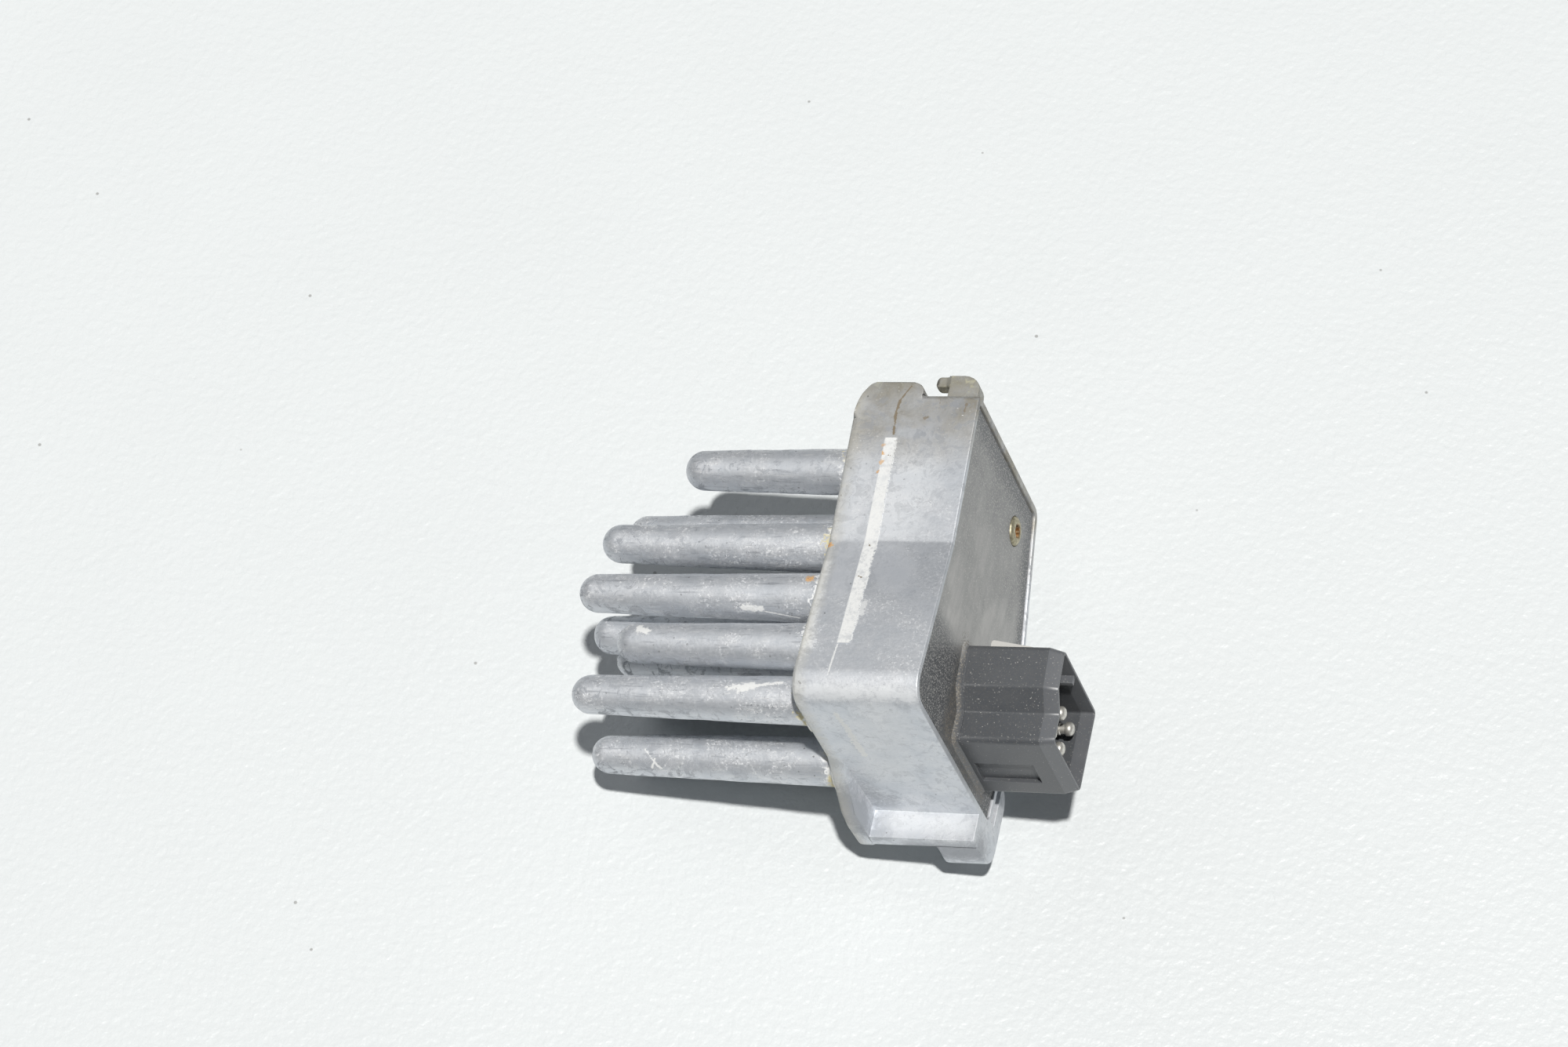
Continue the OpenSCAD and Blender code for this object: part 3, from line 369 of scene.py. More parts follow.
    # every deposit, each painted highlight and painted shade too, is dull: less metal and more roughness there
    dull = addNode(tree, "Math", {0: pale, 1: 0.75}, operation="MULTIPLY")
    for mask in (whiteFleck, masks["rust"], masks["seam"], masks["highlight"], masks["smear"], grimeMask, rootMask,
                 grainSpread, endMask, smudge):
        dull = addNode(tree, "Math", {0: dull, 1: mask}, operation="MAXIMUM")
    metal = addNode(tree, "MapRange", {0: dull, 1: 0.0, 2: 1.0, 3: 0.92, 4: 0.15})
    base = addNode(tree, "MapRange", {0: onPins, 1: 0.0, 2: 1.0, 3: look["bodyRoughness"],
                                      4: look["pinRoughness"]})
    grainRough = addNode(tree, "MapRange", {0: speck, 1: 0.2, 2: 0.8, 3: -0.06, 4: 0.08})
    patchRough = addNode(tree, "Math", {0: base, 1: grainRough}, operation="ADD")
    rough = addNode(tree, "Math", {0: dull, 1: 0.25, 2: patchRough}, operation="MULTIPLY_ADD")
    skinBump = addNode(tree, "Bump", {"Height": skin, "Distance": 0.03 * mm, "Strength": 0.5})
    bump = addNode(tree, "Bump", {"Height": mixed, "Distance": 0.12 * mm, "Strength": 0.5, "Normal": skinBump})
    setInputs(tree, shader, {"Base Color": colour, "Metallic": metal, "Roughness": rough, "Normal": bump})
    return material


castSkin = makeCastAluminium(castAluminium)

# Glass-filled nylon, moulded black: a smooth plate under a grey film of dust, a satin shroud
# with finer, sparser dust, and brown dust caught round the foot of the shroud.
mouldedNylon = {
    "black": "#43464A",
    "worn": "#55585C",
    "film": "#BAB9B6",
    "dust": "#D0CFCB",
    "brownDust": "#6B6457",
    "leadIn": {"from": 15.85, "share": 0.22},  # mm along X, where the mouth tapers in
    # paler grey painted on the tapered mouth as sheen
    "wedge": "#92959A",
    "plateRoughness": 0.42,
    "shroudRoughness": 0.37,
    "grainMm": 0.35,  # fine moulding grain
    "dustMm": 0.32,  # single grains are finer: drawn as coarse as the render shows
    "shroudMiddle": (0, -18.5, -6.2),  # mm
    "shroudHalf": (9.0, 11.8),
    "rampFrom": (4.0, -9.8, -1.2),
    "rampTo": (12.4, -7.2, 4.4),
}


def makeMouldedNylon(look):
    material, tree, shader, place = startMaterial("mouldedNylon")
    axes = addNode(tree, "SeparateXYZ", {0: place})
    x, y, z = axes.outputs
    grain = addNode(tree, "TexNoise", {"Vector": place, "Scale": 1 / look["grainMm"], "Detail": 3.0})
    drift = addNode(tree, "TexNoise", {"Vector": place, "Scale": 0.13, "Detail": 5.0, "Roughness": 0.55,
                                       "Distortion": 0.5})
    dust = addNode(tree, "TexNoise", {"Vector": place, "Scale": 1 / look["dustMm"], "Detail": 2.0,
                                      "Roughness": 0.6})
    onPlate = addNode(tree, "MapRange", {0: x, 1: 0.5, 2: -0.2})
    colour = addNode(tree, "Mix", {0: drift, 6: linear(look["black"]), 7: linear(look["worn"])},
                     data_type="RGBA")
    # the film thins out towards the low edges of the plate, where the black shows
    slope = addNode(tree, "Math", {0: y, 1: 0.334, 2: -26.0}, operation="MULTIPLY_ADD")
    lowEdge = addNode(tree, "Math", {0: slope, 1: -25.0}, operation="MAXIMUM")
    height = addNode(tree, "Math", {0: z, 1: lowEdge}, operation="SUBTRACT")
    lifted = addNode(tree, "Math", {0: drift, 1: 5.0, 2: height}, operation="MULTIPLY_ADD")
    thin = addNode(tree, "MapRange", {0: lifted, 1: 6.0, 2: 11.0, 3: 0.02, 4: 0.95},
                   interpolation_type="SMOOTHSTEP")
    # thicker towards the shroud, with smears drawn down the plate
    drawn = addNode(tree, "VectorMath", {0: place, 1: (1.0, 0.09, 0.42)}, operation="MULTIPLY")
    smear = addNode(tree, "TexNoise", {"Vector": drawn, "Scale": 1.0, "Detail": 4.0, "Roughness": 0.6})
    smearShare = addNode(tree, "MapRange", {0: smear, 1: 0.35, 2: 0.65, 3: 0.74, 4: 1.0})
    towardsFoot = addNode(tree, "MapRange", {0: y, 1: 27.0, 2: -7.0, 3: 0.4, 4: 1.0})
    pastFoot = addNode(tree, "MapRange", {0: y, 1: -10.0, 2: -14.0, 3: 1.0, 4: 0.12})
    film = addNode(tree, "Math", {0: thin, 1: onPlate}, operation="MULTIPLY")
    drifts = addNode(tree, "MapRange", {0: drift, 1: 0.38, 2: 0.62, 3: 0.68, 4: 1.0})
    farEdge = addNode(tree, "MapRange", {0: y, 1: 28.5, 2: 23.5, 3: 0.1, 4: 1.0},
                      interpolation_type="SMOOTHSTEP")
    for part in (smearShare, towardsFoot, pastFoot, drifts, farEdge):
        film = addNode(tree, "Math", {0: film, 1: part}, operation="MULTIPLY")
    colour = addNode(tree, "Mix", {0: film, 6: colour, 7: linear(look["film"])}, data_type="RGBA")
    # grains: dense on the plate, sparse on the shroud
    settled = addNode(tree, "MapRange", {0: film, 1: 0.2, 2: 0.75, 3: 0.545, 4: 0.61})
    bar = addNode(tree, "Mix", {0: onPlate, 2: 0.66, 3: settled})
    over = addNode(tree, "Math", {0: dust, 1: bar}, operation="SUBTRACT")
    dustMask = addNode(tree, "MapRange", {0: over, 1: 0.0, 2: 0.06, 4: 0.6})
    colour = addNode(tree, "Mix", {0: dustMask, 6: colour, 7: linear(look["dust"])}, data_type="RGBA")
    # distance from the foot of the shroud in the plane of the plate
    offset = addNode(tree, "VectorMath", {0: place, 1: look["shroudMiddle"]}, operation="SUBTRACT")
    size = addNode(tree, "VectorMath", {0: offset}, operation="ABSOLUTE")
    past = addNode(tree, "VectorMath", {0: size, 1: (100.0, *look["shroudHalf"])}, operation="SUBTRACT")
    outside = addNode(tree, "VectorMath", {0: past, 1: (0, 0, 0)}, operation="MAXIMUM")
    away = addNode(tree, "VectorMath", {0: outside}, operation="LENGTH")
    # single grains, close together at the foot and fewer further out
    wave = addNode(tree, "Math", {0: away, 1: -0.055, 2: dust}, operation="MULTIPLY_ADD")
    wave = addNode(tree, "Math", {0: drift, 1: 0.35, 2: wave}, operation="MULTIPLY_ADD")
    foot = addNode(tree, "MapRange", {0: wave, 1: 0.645, 2: 0.71, 4: 0.75})
    low = addNode(tree, "MapRange", {0: x, 1: 0.5, 2: 0.1, 3: 0.12, 4: 0.85})
    brown = addNode(tree, "Math", {0: foot, 1: low}, operation="MULTIPLY")
    # dust on the lock ramp: inside its box
    middle = [(a + b) / 2 for a, b in zip(look["rampFrom"], look["rampTo"])]
    halves = [(b - a) / 2 for a, b in zip(look["rampFrom"], look["rampTo"])]
    rampOffset = addNode(tree, "VectorMath", {0: place, 1: middle}, operation="SUBTRACT")
    rampSize = addNode(tree, "VectorMath", {0: rampOffset}, operation="ABSOLUTE")
    rampPast = addNode(tree, "VectorMath", {0: rampSize, 1: halves}, operation="SUBTRACT")
    rampOut = addNode(tree, "VectorMath", {0: rampPast, 1: (0, 0, 0)}, operation="MAXIMUM")
    rampAway = addNode(tree, "VectorMath", {0: rampOut}, operation="LENGTH")
    ramp = addNode(tree, "MapRange", {0: rampAway, 1: 0.05, 2: 0.0, 4: 0.9})
    dusty = addNode(tree, "Math", {0: brown, 1: ramp}, operation="MAXIMUM")
    ground = addNode(tree, "Mix", {0: ramp, 6: linear(look["brownDust"]), 7: linear(look["dust"])},
                     data_type="RGBA")
    # painted sheen: the tapered mouth is drawn paler grey for the light it catches
    sheenBand = addNode(tree, "MapRange", {0: x, 1: look["leadIn"]["from"], 2: look["leadIn"]["from"] + 0.1,
                                       4: look["leadIn"]["share"]})
    colour = addNode(tree, "Mix", {0: sheenBand, 6: colour, 7: linear(look["wedge"])}, data_type="RGBA")
    colour = addNode(tree, "Mix", {0: dusty, 6: colour, 7: ground}, data_type="RGBA")
    base = addNode(tree, "MapRange", {0: onPlate, 1: 0.0, 2: 1.0, 3: look["shroudRoughness"],
                                      4: look["plateRoughness"]})
    allDust = addNode(tree, "Math", {0: dusty, 1: dustMask}, operation="MAXIMUM")
    rough = addNode(tree, "Math", {0: allDust, 1: 0.5, 2: base}, operation="MULTIPLY_ADD")
    bump = addNode(tree, "Bump", {"Height": grain, "Distance": 0.012 * mm, "Strength": 0.4})
    setInputs(tree, shader, {"Base Color": colour, "Roughness": rough, "Normal": bump, "IOR": 1.53,
                             "Specular IOR Level": 0.8})
    return material


nylonSkin = makeMouldedNylon(mouldedNylon)

# One entry for each plain finish: two colours that a fine pattern mixes, its size in mm, metallic,
# roughness, bump in mm. The comment beside each says what the real surface gives the eye.
plainFinishes = {
    # zinc plate, yellow chromated: pale gold that shifts to olive, gone brown in the socket
    "yellowZinc": ("#C6BFA6", "#959079", 0.6, 0.8, 0.48, 0.02),
    # tin over brass: soft silver with slight draw marks
    "tinnedTerminal": ("#E8E6E0", "#CFCCC4", 0.5, 0.75, 0.4, 0.008),
    # die-cut silicone foam: matt dark red
    "gasketRubber": ("#5B2A22", "#6B3429", 0.4, 0.0, 0.75, 0.03),
    # solder resist on glass-epoxy laminate: glossy green over a faint weave
    "boardGreen": ("#1F4A30", "#2E6340", 0.7, 0.0, 0.35, 0.01),
    # transfer-moulded epoxy: matt black with fine pitting
    "epoxyBlack": ("#1C1D1F", "#2A2B2D", 0.3, 0.0, 0.55, 0.01),
    # filled silicone pad: chalky pale grey
    "padGrey": ("#B9B7AE", "#A5A39B", 0.5, 0.0, 0.8, 0.02),
    # rolled spring steel: grey with a slight directional haze
    "springSteel": ("#8F9296", "#A9ACB0", 0.6, 1.0, 0.35, 0.01),
    # shrunk sleeve over a can: smooth dark blue
    "capacitorSleeve": ("#2A3D5E", "#38507A", 1.2, 0.0, 0.3, 0.01),
    # copper-nickel resistance strip: dull warm metal
    "shuntAlloy": ("#B28B5E", "#9A7A54", 0.9, 1.0, 0.4, 0.01),
}


def makePlainFinish(name, first, second, patternMm, metallic, roughness, bumpMm):
    material, tree, shader, place = startMaterial(name)
    pattern = addNode(tree, "TexNoise", {"Vector": place, "Scale": 1 / patternMm, "Detail": 4.0,
                                         "Roughness": 0.6})
    spread = addNode(tree, "MapRange", {0: pattern, 1: 0.35, 2: 0.65})
    colour = addNode(tree, "Mix", {0: spread, 6: linear(first), 7: linear(second)}, data_type="RGBA")
    rough = addNode(tree, "MapRange", {0: pattern, 1: 0.2, 2: 0.8, 3: roughness - 0.06, 4: roughness + 0.08})
    bump = addNode(tree, "Bump", {"Height": pattern, "Distance": bumpMm * mm, "Strength": 0.6})
    setInputs(tree, shader, {"Base Color": colour, "Roughness": rough, "Normal": bump, "Metallic": metallic})
    return material


finishes = {name: makePlainFinish(name, *data) for name, data in plainFinishes.items()}

# damp stands in the socket of the cover screw: place in the plate's plane and radii in mm
socketRust = {"place": (0.0, 22.05, -6.8), "full": 1.1, "none": 1.6, "pale": "#B5803F", "dark": "#6B4526"}


def rustSocket(tree, shader, rust):
    where = addNode(tree, "TexCoord")
    flat = addNode(tree, "VectorMath", {0: where.outputs["Object"], 1: (0, 1000, 1000)}, operation="MULTIPLY")
    away = addNode(tree, "VectorMath", {0: flat, 1: rust["place"]}, operation="DISTANCE")
    inside = addNode(tree, "MapRange", {0: away, 1: rust["none"], 2: rust["full"], 4: 0.85})
    blots = addNode(tree, "TexNoise", {"Vector": flat, "Scale": 1.6, "Detail": 3.0})
    spread = addNode(tree, "MapRange", {0: blots, 1: 0.42, 2: 0.58})
    brown = addNode(tree, "Mix", {0: spread, 6: linear(rust["pale"]), 7: linear(rust["dark"])},
                    data_type="RGBA")
    clean = shader.inputs["Base Color"].links[0].from_socket
    colour = addNode(tree, "Mix", {0: inside, 6: clean, 7: brown}, data_type="RGBA")
    setInputs(tree, shader, {"Base Color": colour})


zincTree = finishes["yellowZinc"].node_tree
rustSocket(zincTree, next(n for n in zincTree.nodes if n.type == "BSDF_PRINCIPLED"), socketRust)
print("materials made:", len(bpy.data.materials))


def newPiece(name, bm, material, sharpAbove=35):
    bmesh.ops.recalc_face_normals(bm, faces=bm.faces)
    for face in bm.faces:
        face.smooth = True
    for edge in bm.edges:
        edge.smooth = edge.calc_face_angle(0) < math.radians(sharpAbove)
    mesh = bpy.data.meshes.new(name)
    bm.to_mesh(mesh)
    bm.free()
    mesh.materials.append(material)
    piece = bpy.data.objects.new(name, mesh)
    scene.collection.objects.link(piece)
    even = piece.modifiers.new("evenShading", "WEIGHTED_NORMAL")  # large faces stay flat beside small rounds
    even.keep_sharp = True
    return piece


def closeRings(bm, rings, sides):
    for low, high in zip(rings, rings[1:]):
        for k in range(sides):
            j = (k + 1) % sides
            corners = [low[k % len(low)], low[j % len(low)], high[j % len(high)], high[k % len(high)]]
            corners = list(dict.fromkeys(corners))
            if len(corners) > 2:
                bm.faces.new(corners)


def addLathe(bm, profile, place, sides=48, wobble=0.0, seed=0.0):
    # profile: (x, radius) in mm from one pole to the other, round an axis along X
    rings = []
    for x, radius in profile:
        if radius == 0:
            rings.append([bm.verts.new(Vector((x, place[0], place[1])) * mm)])
            continue
        ring = []
        for k in range(sides):
            a = 2 * math.pi * k / sides
            point = Vector((x, place[0] + radius * math.cos(a), place[1] + radius * math.sin(a)))
            grow = wobble * noise.noise(point * 0.16 + Vector((seed, 0, 0)))
            grow += wobble * 0.35 * noise.noise(point * 0.7 + Vector((0, seed, 0)))
            point += Vector((0, math.cos(a), math.sin(a))) * grow
            ring.append(bm.verts.new(point * mm))
        rings.append(ring)
    closeRings(bm, rings, sides)
    return [v for ring in rings for v in ring]


# the cast heat sink: the body from the frame with its edges eased, and each pin turned anew
heatSink = {
    "trayBack": -24.0,  # mm, the outside of the tray floor
    "edgeRound": 0.3,
    "backRound": 0.9,  # the edge beside the pins
    "pinLong": 49.6,
    "pinUsual": 47.6,
    "pinMiddle": 39.5,
    "pinShort": 34.6,
    "tipRadius": 3.6,
    "draft": 0.021,
    "footFillet": 1.1,
    "gateProud": 0.09,  # the sawn gate stands this far above the wall
    "bareEnd": (-19.6, 33.2),  # mm, edges with x below and y above these stay uneased
    "endRound": {"from": 26.75, "width": 4.0, "height": 7.5},  # mm, where the tray floor falls away
    "wobble": 0.11,
    "sides": 56,
}
pinPlaces = [
    (4.4, 15, "pinUsual"), (-6.4, 15, "pinLong"), (-16.8, 15, "pinMiddle"), (20.8, 15, "pinShort"),
    (-26, 11.6, "pinUsual"), (12.6, 5, "pinUsual"), (-9.4, 5, "pinLong"), (27, 5, "pinShort"),
    (2, 0, "pinUsual"), (-19.4, 0, "pinUsual"), (17, -6.6, "pinUsual"), (-7.8, -6.6, "pinLong"),
    (-28.4, -6.6, "pinLong"), (10.2, -15.4, "pinUsual"), (0.4, -15.4, "pinUsual"),
    (-10.8, -15.4, "pinUsual"), (-21.4, -18.4, "pinUsual"),
]
mergeBelow = 0.8  # degrees: flatter edges are only triangle lines of the solid's mesh
easeAbove = 28  # degrees: steeper edges are real ones
# outline of the body in mm: the long wall bends in at bendY, the low wall rises from cutY on
outline = {"halfLength": 31.75, "halfHeight": 25, "bendY": 1.5, "bendIn": 2.6, "cutY": 3, "cutRise": 9.6}


def longWall(y):
    bend = outline["bendY"]
    run = outline["halfLength"] + (-bend if y > bend else bend)
    return outline["halfHeight"] - outline["bendIn"] * (1 - abs(y - bend) / run)


def lowWall(y):
    past = max(y - outline["cutY"], 0)
    return -outline["halfHeight"] + outline["cutRise"] * past / (outline["halfLength"] - outline["cutY"])


def insideTray(point, slack=1.3):
    x, y, z = point / mm
    within = abs(y) < outline["halfLength"] - slack and lowWall(y) + slack < z < longWall(y) - slack
    return within and x < -0.0002  # mm, anything behind the rim plane


def easeEdges(bm, edges, size, segments):
    # round the edges, then bring back any corner that ran past the solid
    solid = BVHTree.FromBMesh(bm)
    before = {v.co.to_tuple(8) for v in bm.verts}
    bmesh.ops.bevel(bm, geom=edges, offset=size * mm, offset_type="OFFSET", segments=segments,
                    profile=0.5, affect="EDGES", clamp_overlap=False)
    for v in bm.verts:
        if v.co.to_tuple(8) in before:
            continue
        near, normal, _, gap = solid.find_nearest(v.co)
        if gap > 0.75 * size * mm or (v.co - near).dot(normal) > 0.01 * mm:
            v.co = near
    bmesh.ops.dissolve_degenerate(bm, dist=0.002 * mm, edges=bm.edges)


def gateRise(point):
    # height above the long bent wall, for a point beside or on the sawn gate
    x, y, z = point / mm
    gate = castAluminium["gate"]
    across, past = 1.3, 1.2  # mm to each side and beyond each end that still count as the gate
    if abs(x - gate["x"]) > across or not gate["low"] - past < y < gate["high"] + past:
        return -1
    return z - longWall(y)


def fallAway(y, bend):
    # how far the tray floor lies back from its own plane, on the large round at the free end
    rise = min(max(y - bend["from"], 0) / bend["height"], 0.98)
    return bend["width"] * (1 - math.sqrt(1 - rise * rise))


def makeHeatSink(h):
    bm = bmesh.new()
    bm.from_mesh(nodes["heat_sink"].data)
    bmesh.ops.remove_doubles(bm, verts=bm.verts, dist=0.001 * mm)
    beyond = [v for v in bm.verts if v.co.x < (h["trayBack"] - 0.002) * mm]
    bmesh.ops.delete(bm, geom=beyond, context="VERTS")
    bmesh.ops.holes_fill(bm, edges=[e for e in bm.edges if e.is_boundary], sides=0)
    for v in bm.verts:
        if v.co.x < (h["trayBack"] + 0.01) * mm and v.co.y > (h["endRound"]["from"] + 0.01) * mm:
            v.co.x += (fallAway(v.co.y / mm, h["endRound"]) + 0.05) * mm
    bmesh.ops.dissolve_limit(bm, angle_limit=math.radians(mergeBelow), verts=bm.verts, edges=bm.edges)
    back = [e for e in bm.edges if e.is_manifold and e.calc_face_angle(0) > math.radians(50)
            and all(abs(v.co.x - h["trayBack"] * mm) < 0.01 * mm for v in e.verts)]
    easeEdges(bm, back, h["backRound"], 4)
    sharp = [e for e in bm.edges if e.is_manifold and e.calc_face_angle(0) > math.radians(easeAbove)
             and not all(insideTray(v.co) for v in e.verts)
             and not all(gateRise(v.co) > -0.06 for v in e.verts)
             and not all(v.co.x < h["bareEnd"][0] * mm and v.co.y > h["bareEnd"][1] * mm for v in e.verts)]
    easeEdges(bm, sharp, h["edgeRound"], 2)
    for v in bm.verts:
        if gateRise(v.co) > 0.12:
            v.co.z -= (gateRise(v.co) - h["gateProud"]) * mm
    for n, (y, z, kind) in enumerate(pinPlaces):
        length = h[kind]
        tip = h["tipRadius"] + h["draft"] * (h["pinUsual"] - length) / 2
        root = tip + h["draft"] * (length - tip)
        back = h["trayBack"]
        fillet = h["footFillet"]
        profile = [(back + 2, 0), (back + 2, root), (back + 0.3, root + fillet * 0.9)]
        for k in range(7):
            a = math.radians(15 * k)
            profile.append((back - fillet + fillet * math.cos(a), root + fillet - fillet * math.sin(a)))
        ball = back - length + tip
        for k in range(1, 24):
            profile.append((back - fillet + (ball - back + fillet) * k / 24, root + (tip - root) * k / 24))
        for k in range(0, 10):
            a = math.radians(10 * k)
            profile.append((ball - tip * math.sin(a), tip * math.cos(a) if k < 9 else 0))
        for v in addLathe(bm, profile, (y, z), h["sides"], h["wobble"], seed=7.3 * n):
            near = min(max((v.co.x / mm - back + 2.5 * fillet) / (2.5 * fillet), 0), 1)
            v.co.x += near * fallAway(v.co.y / mm, h["endRound"]) * mm
    piece = newPiece("heatSinkCasting", bm, castSkin)
    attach(piece, "root")
    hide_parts("heat_sink")
    return piece


casting = makeHeatSink(heatSink)
print("heat sink made:", len(casting.data.polygons), "faces")

coverShape = {"edgeRound": 0.12}


def makeCover(c):
    bm = bmesh.new()
    bm.from_mesh(nodes["cover"].data)
    bmesh.ops.remove_doubles(bm, verts=bm.verts, dist=0.001 * mm)
    bmesh.ops.dissolve_limit(bm, angle_limit=math.radians(mergeBelow), verts=bm.verts, edges=bm.edges)
    sharp = [e for e in bm.edges if e.is_manifold and e.calc_face_angle(0) > math.radians(easeAbove)
             and max(v.co.x for v in e.verts) > -0.5 * mm]
    easeEdges(bm, sharp, c["edgeRound"], 2)
    piece = newPiece("mouldedCover", bm, nylonSkin)
    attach(piece, "root")
    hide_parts("cover")
    return piece


cover = makeCover(coverShape)
print("cover made:", len(cover.data.polygons), "faces")

# pan-head thread-forming screw, its six-lobed socket cut in the head
screwShape = {
    "place": (22.05, -6.8),
    "seat": -1.0,  # mm, the plane that the head sits on
    "rim": 0.65,
    "dome": 0.55,
    "headRadius": 2.8,
    "socketRadius": 1.4,
    "socketDepth": 0.8,
    "shankRadius": 1.45,
    "shankLength": 10.4,
    "sides": 72,
}


def makeScrew(s):
    bm = bmesh.new()
    top = s["seat"] + s["rim"] + s["dome"]
    outer = s["headRadius"]
    rows = [
        (s["seat"] - s["shankLength"], 0, 0), (s["seat"] - s["shankLength"], s["shankRadius"] * 0.7, 0),
        (s["seat"] - s["shankLength"] + 0.8, s["shankRadius"], 0), (s["seat"], s["shankRadius"], 0),
        (s["seat"], outer - 0.12, 0), (s["seat"] + 0.1, outer, 0), (s["seat"] + s["rim"] * 0.75, outer, 0),
    ]
    for k in range(1, 6):
        a = math.radians(17 * k)
        rows.append((s["seat"] + s["rim"] * 0.75 + (top - s["seat"] - s["rim"] * 0.75) * math.sin(a),
                     outer - (outer - s["socketRadius"] - 0.35) * (1 - math.cos(a)), 0))
    rows.append((top, s["socketRadius"] + 0.14, 0.6))
    rows.append((top - 0.1, s["socketRadius"], 1))
    rows.append((top - s["socketDepth"], s["socketRadius"] * 0.97, 1))
    rows.append((top - s["socketDepth"] - 0.25, 0, 0))
    rings = []
    for x, radius, lobes in rows:
        if radius == 0:
            rings.append([bm.verts.new(Vector((x, *s["place"])) * mm)])
            continue
        ring = []
        for k in range(s["sides"]):
            a = 2 * math.pi * k / s["sides"]
            r = radius * (1 - lobes * 0.13 * (1 - math.cos(6 * a)))
            point = Vector((x, s["place"][0] + r * math.cos(a), s["place"][1] + r * math.sin(a)))
            ring.append(bm.verts.new(point * mm))
        rings.append(ring)
    closeRings(bm, rings, s["sides"])
    piece = newPiece("coverScrew", bm, finishes["yellowZinc"], sharpAbove=40)
    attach(piece, "root")
    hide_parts("cover_screw")
    return piece


screw = makeScrew(screwShape)
print("screw made:", len(screw.data.polygons), "faces")

# turned terminals: shank, neck and a rounded head
terminalShape = {
    "places": [(-16.3, -1.4), (-16.3, -7.2), (-16.3, -13.0), (-22.1, -4.3), (-22.1, -10.1)],
    "tip": 16.7,
    "radius": 1.3,
    "shank": 1.15,
    "neck": 0.95,
    "tail": 0.78,
    "tailEnd": -10.6,
    "tailTop": -8.0,
}


def makeTerminals(t):
    for n, place in enumerate(t["places"]):
        tip = t["tip"]
        profile = [
            (t["tailEnd"], 0), (t["tailEnd"], t["tail"] * 0.8), (t["tailEnd"] + 0.2, t["tail"]),
            (t["tailTop"], t["tail"]), (t["tailTop"], t["shank"]), (tip - 2.65, t["shank"]),
            (tip - 2.5, t["neck"]),
            (tip - 1.6, t["neck"]), (tip - 1.5, t["radius"] - 0.12), (tip - 1.36, t["radius"]),
            (tip - 0.62, t["radius"]),
            (tip - 0.36, t["radius"] - 0.14), (tip - 0.12, t["radius"] - 0.42), (tip, t["tail"] * 0.75),
            (tip, 0),
        ]
        bm = bmesh.new()
        addLathe(bm, profile, place, 40)
        piece = newPiece("terminalPin" + str(n + 1), bm, finishes["tinnedTerminal"], sharpAbove=50)
        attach(piece, "root")
        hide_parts("terminal_" + str(n + 1))


makeTerminals(terminalShape)
print("terminals made")

# the pieces inside keep the frame's own solids, each with its finish
innerFinish = {
    "cover_gasket": "gasketRubber",
    "circuit_board": "boardGreen",
    "transistor_1": "epoxyBlack",
    "transistor_2": "epoxyBlack",
    "transistor_legs_1": "tinnedTerminal",
    "transistor_legs_2": "tinnedTerminal",
    "insulating_pad_1": "padGrey",
    "insulating_pad_2": "padGrey",
    "clamp_bar": "springSteel",
    "clamp_screw": "springSteel",
    "capacitor_1": "capacitorSleeve",
    "capacitor_2": "capacitorSleeve",
    "shunt_bridge": "shuntAlloy",
    "amplifier_chip": "epoxyBlack",
    "flyback_diode": "epoxyBlack",
}
for name, finish in innerFinish.items():
    slots = nodes[name].material_slots
    for k in range(len(slots)):
        slots[k].material = finishes[finish]
print("inner pieces finished")

# the table that it lies on: a pale laminate with an orange peel and a few specks
tableTop = {
    "normal": (0.2187, -0.0847, 0.9721),  # the part rests on its lug and pins, so its own frame leans
    "height": -34.54,  # mm along that normal
    "radius": 420,
    "thickness": 6,
    "colour": "#DEE2E3",
    "shade": "#DADEDF",
    "speckColour": "#8C8B88",
    "roughness": 0.38,
    "peelMm": 1.6,  # the real peel is finer: drawn coarser, or the render would lose it
    "speckMm": 14,
}


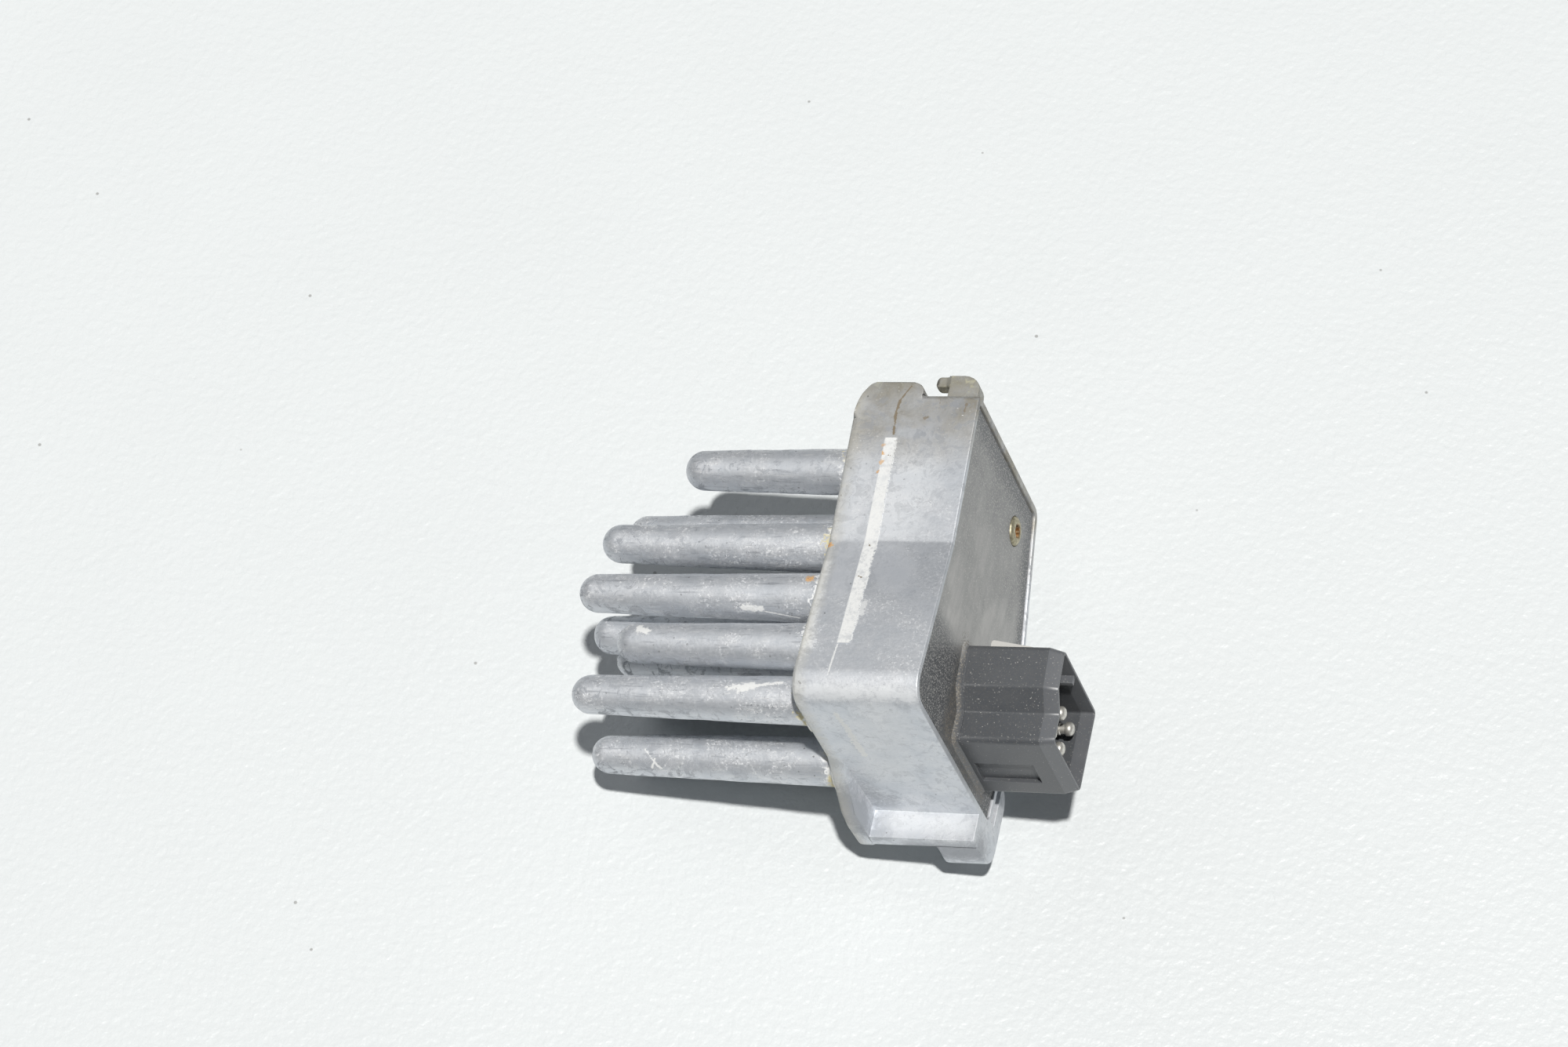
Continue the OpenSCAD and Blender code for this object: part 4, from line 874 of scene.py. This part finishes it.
def makeTable(t):
    material, tree, shader, place = startMaterial("tableLaminate")
    peel = addNode(tree, "TexNoise", {"Vector": place, "Scale": 1 / t["peelMm"], "Detail": 2.0})
    broad = addNode(tree, "TexNoise", {"Vector": place, "Scale": 0.02, "Detail": 2.0})
    colour = addNode(tree, "Mix", {0: broad, 6: linear(t["colour"]), 7: linear(t["shade"])}, data_type="RGBA")
    cells = addNode(tree, "TexVoronoi", {"Vector": place, "Scale": 1 / t["speckMm"]}, feature="F1")
    speck = addNode(tree, "MapRange", {0: cells, 1: 0.03, 2: 0.018, 4: 0.7})
    colour = addNode(tree, "Mix", {0: speck, 6: colour, 7: linear(t["speckColour"])}, data_type="RGBA")
    bump = addNode(tree, "Bump", {"Height": peel, "Distance": 0.3 * mm, "Strength": 0.9})
    setInputs(tree, shader, {"Base Color": colour, "Normal": bump, "Roughness": t["roughness"]})
    normal = Vector(t["normal"]).normalized()
    turn = normal.to_track_quat("Z", "Y").to_matrix()
    bm = bmesh.new()
    sides = 128
    upper, lower = [], []
    for k in range(sides):
        a = 2 * math.pi * k / sides
        edge = turn @ Vector((t["radius"] * math.cos(a), t["radius"] * math.sin(a), 0))
        upper.append(bm.verts.new((edge + normal * t["height"]) * mm))
        lower.append(bm.verts.new((edge + normal * (t["height"] - t["thickness"])) * mm))
    bm.faces.new(upper)
    bm.faces.new(lower)
    for k in range(sides):
        j = (k + 1) % sides
        bm.faces.new([upper[k], upper[j], lower[j], lower[k]])
    table = newPiece("tableTop", bm, material)


makeTable(tableTop)
print("table made")

# one lamp close above the camera, and a plain room: pale overhead, an even grey around
lighting = {
    "towardsLamp": (0.369, -0.235, 0.899),
    "lampStrength": 3.4,
    "lampSpread": 2.5,  # degrees
    "lampColour": "#FFFDFA",
    "towardsPale": (-0.35, 0.35, 0.87),  # the pale part of the room, overhead
    "paleSpread": 7,  # higher is narrower
    "roomPale": "#C6C8CA",
    "roomDark": "#57595C",
    "roomStrength": 1.0,
}


def lightScene(look):
    lamp = bpy.data.lights.new("studioLamp", "SUN")
    lamp.energy = look["lampStrength"]
    lamp.angle = math.radians(look["lampSpread"])
    lamp.color = linear(look["lampColour"])[:3]
    holder = bpy.data.objects.new("studioLamp", lamp)
    holder.rotation_euler = Vector(look["towardsLamp"]).to_track_quat("Z", "Y").to_euler()
    scene.collection.objects.link(holder)
    world = bpy.data.worlds.new("studioRoom")
    world.use_nodes = True
    tree = world.node_tree
    tree.nodes.clear()
    where = addNode(tree, "TexCoord")
    above = Vector(look["towardsPale"]).normalized()
    facing = addNode(tree, "VectorMath", {0: where.outputs["Generated"], 1: above}, operation="DOT_PRODUCT")
    rise = addNode(tree, "Math", {0: facing, 1: 0.0}, operation="MAXIMUM")
    glow = addNode(tree, "Math", {0: rise, 1: look["paleSpread"]}, operation="POWER")
    colour = addNode(tree, "Mix", {0: glow, 6: linear(look["roomDark"]), 7: linear(look["roomPale"])},
                     data_type="RGBA")
    room = addNode(tree, "Background", {0: colour, 1: look["roomStrength"]})
    addNode(tree, "OutputWorld", {0: room})
    scene.world = world
    scene.view_settings.view_transform = "Standard"


lightScene(lighting)
print("lights placed")
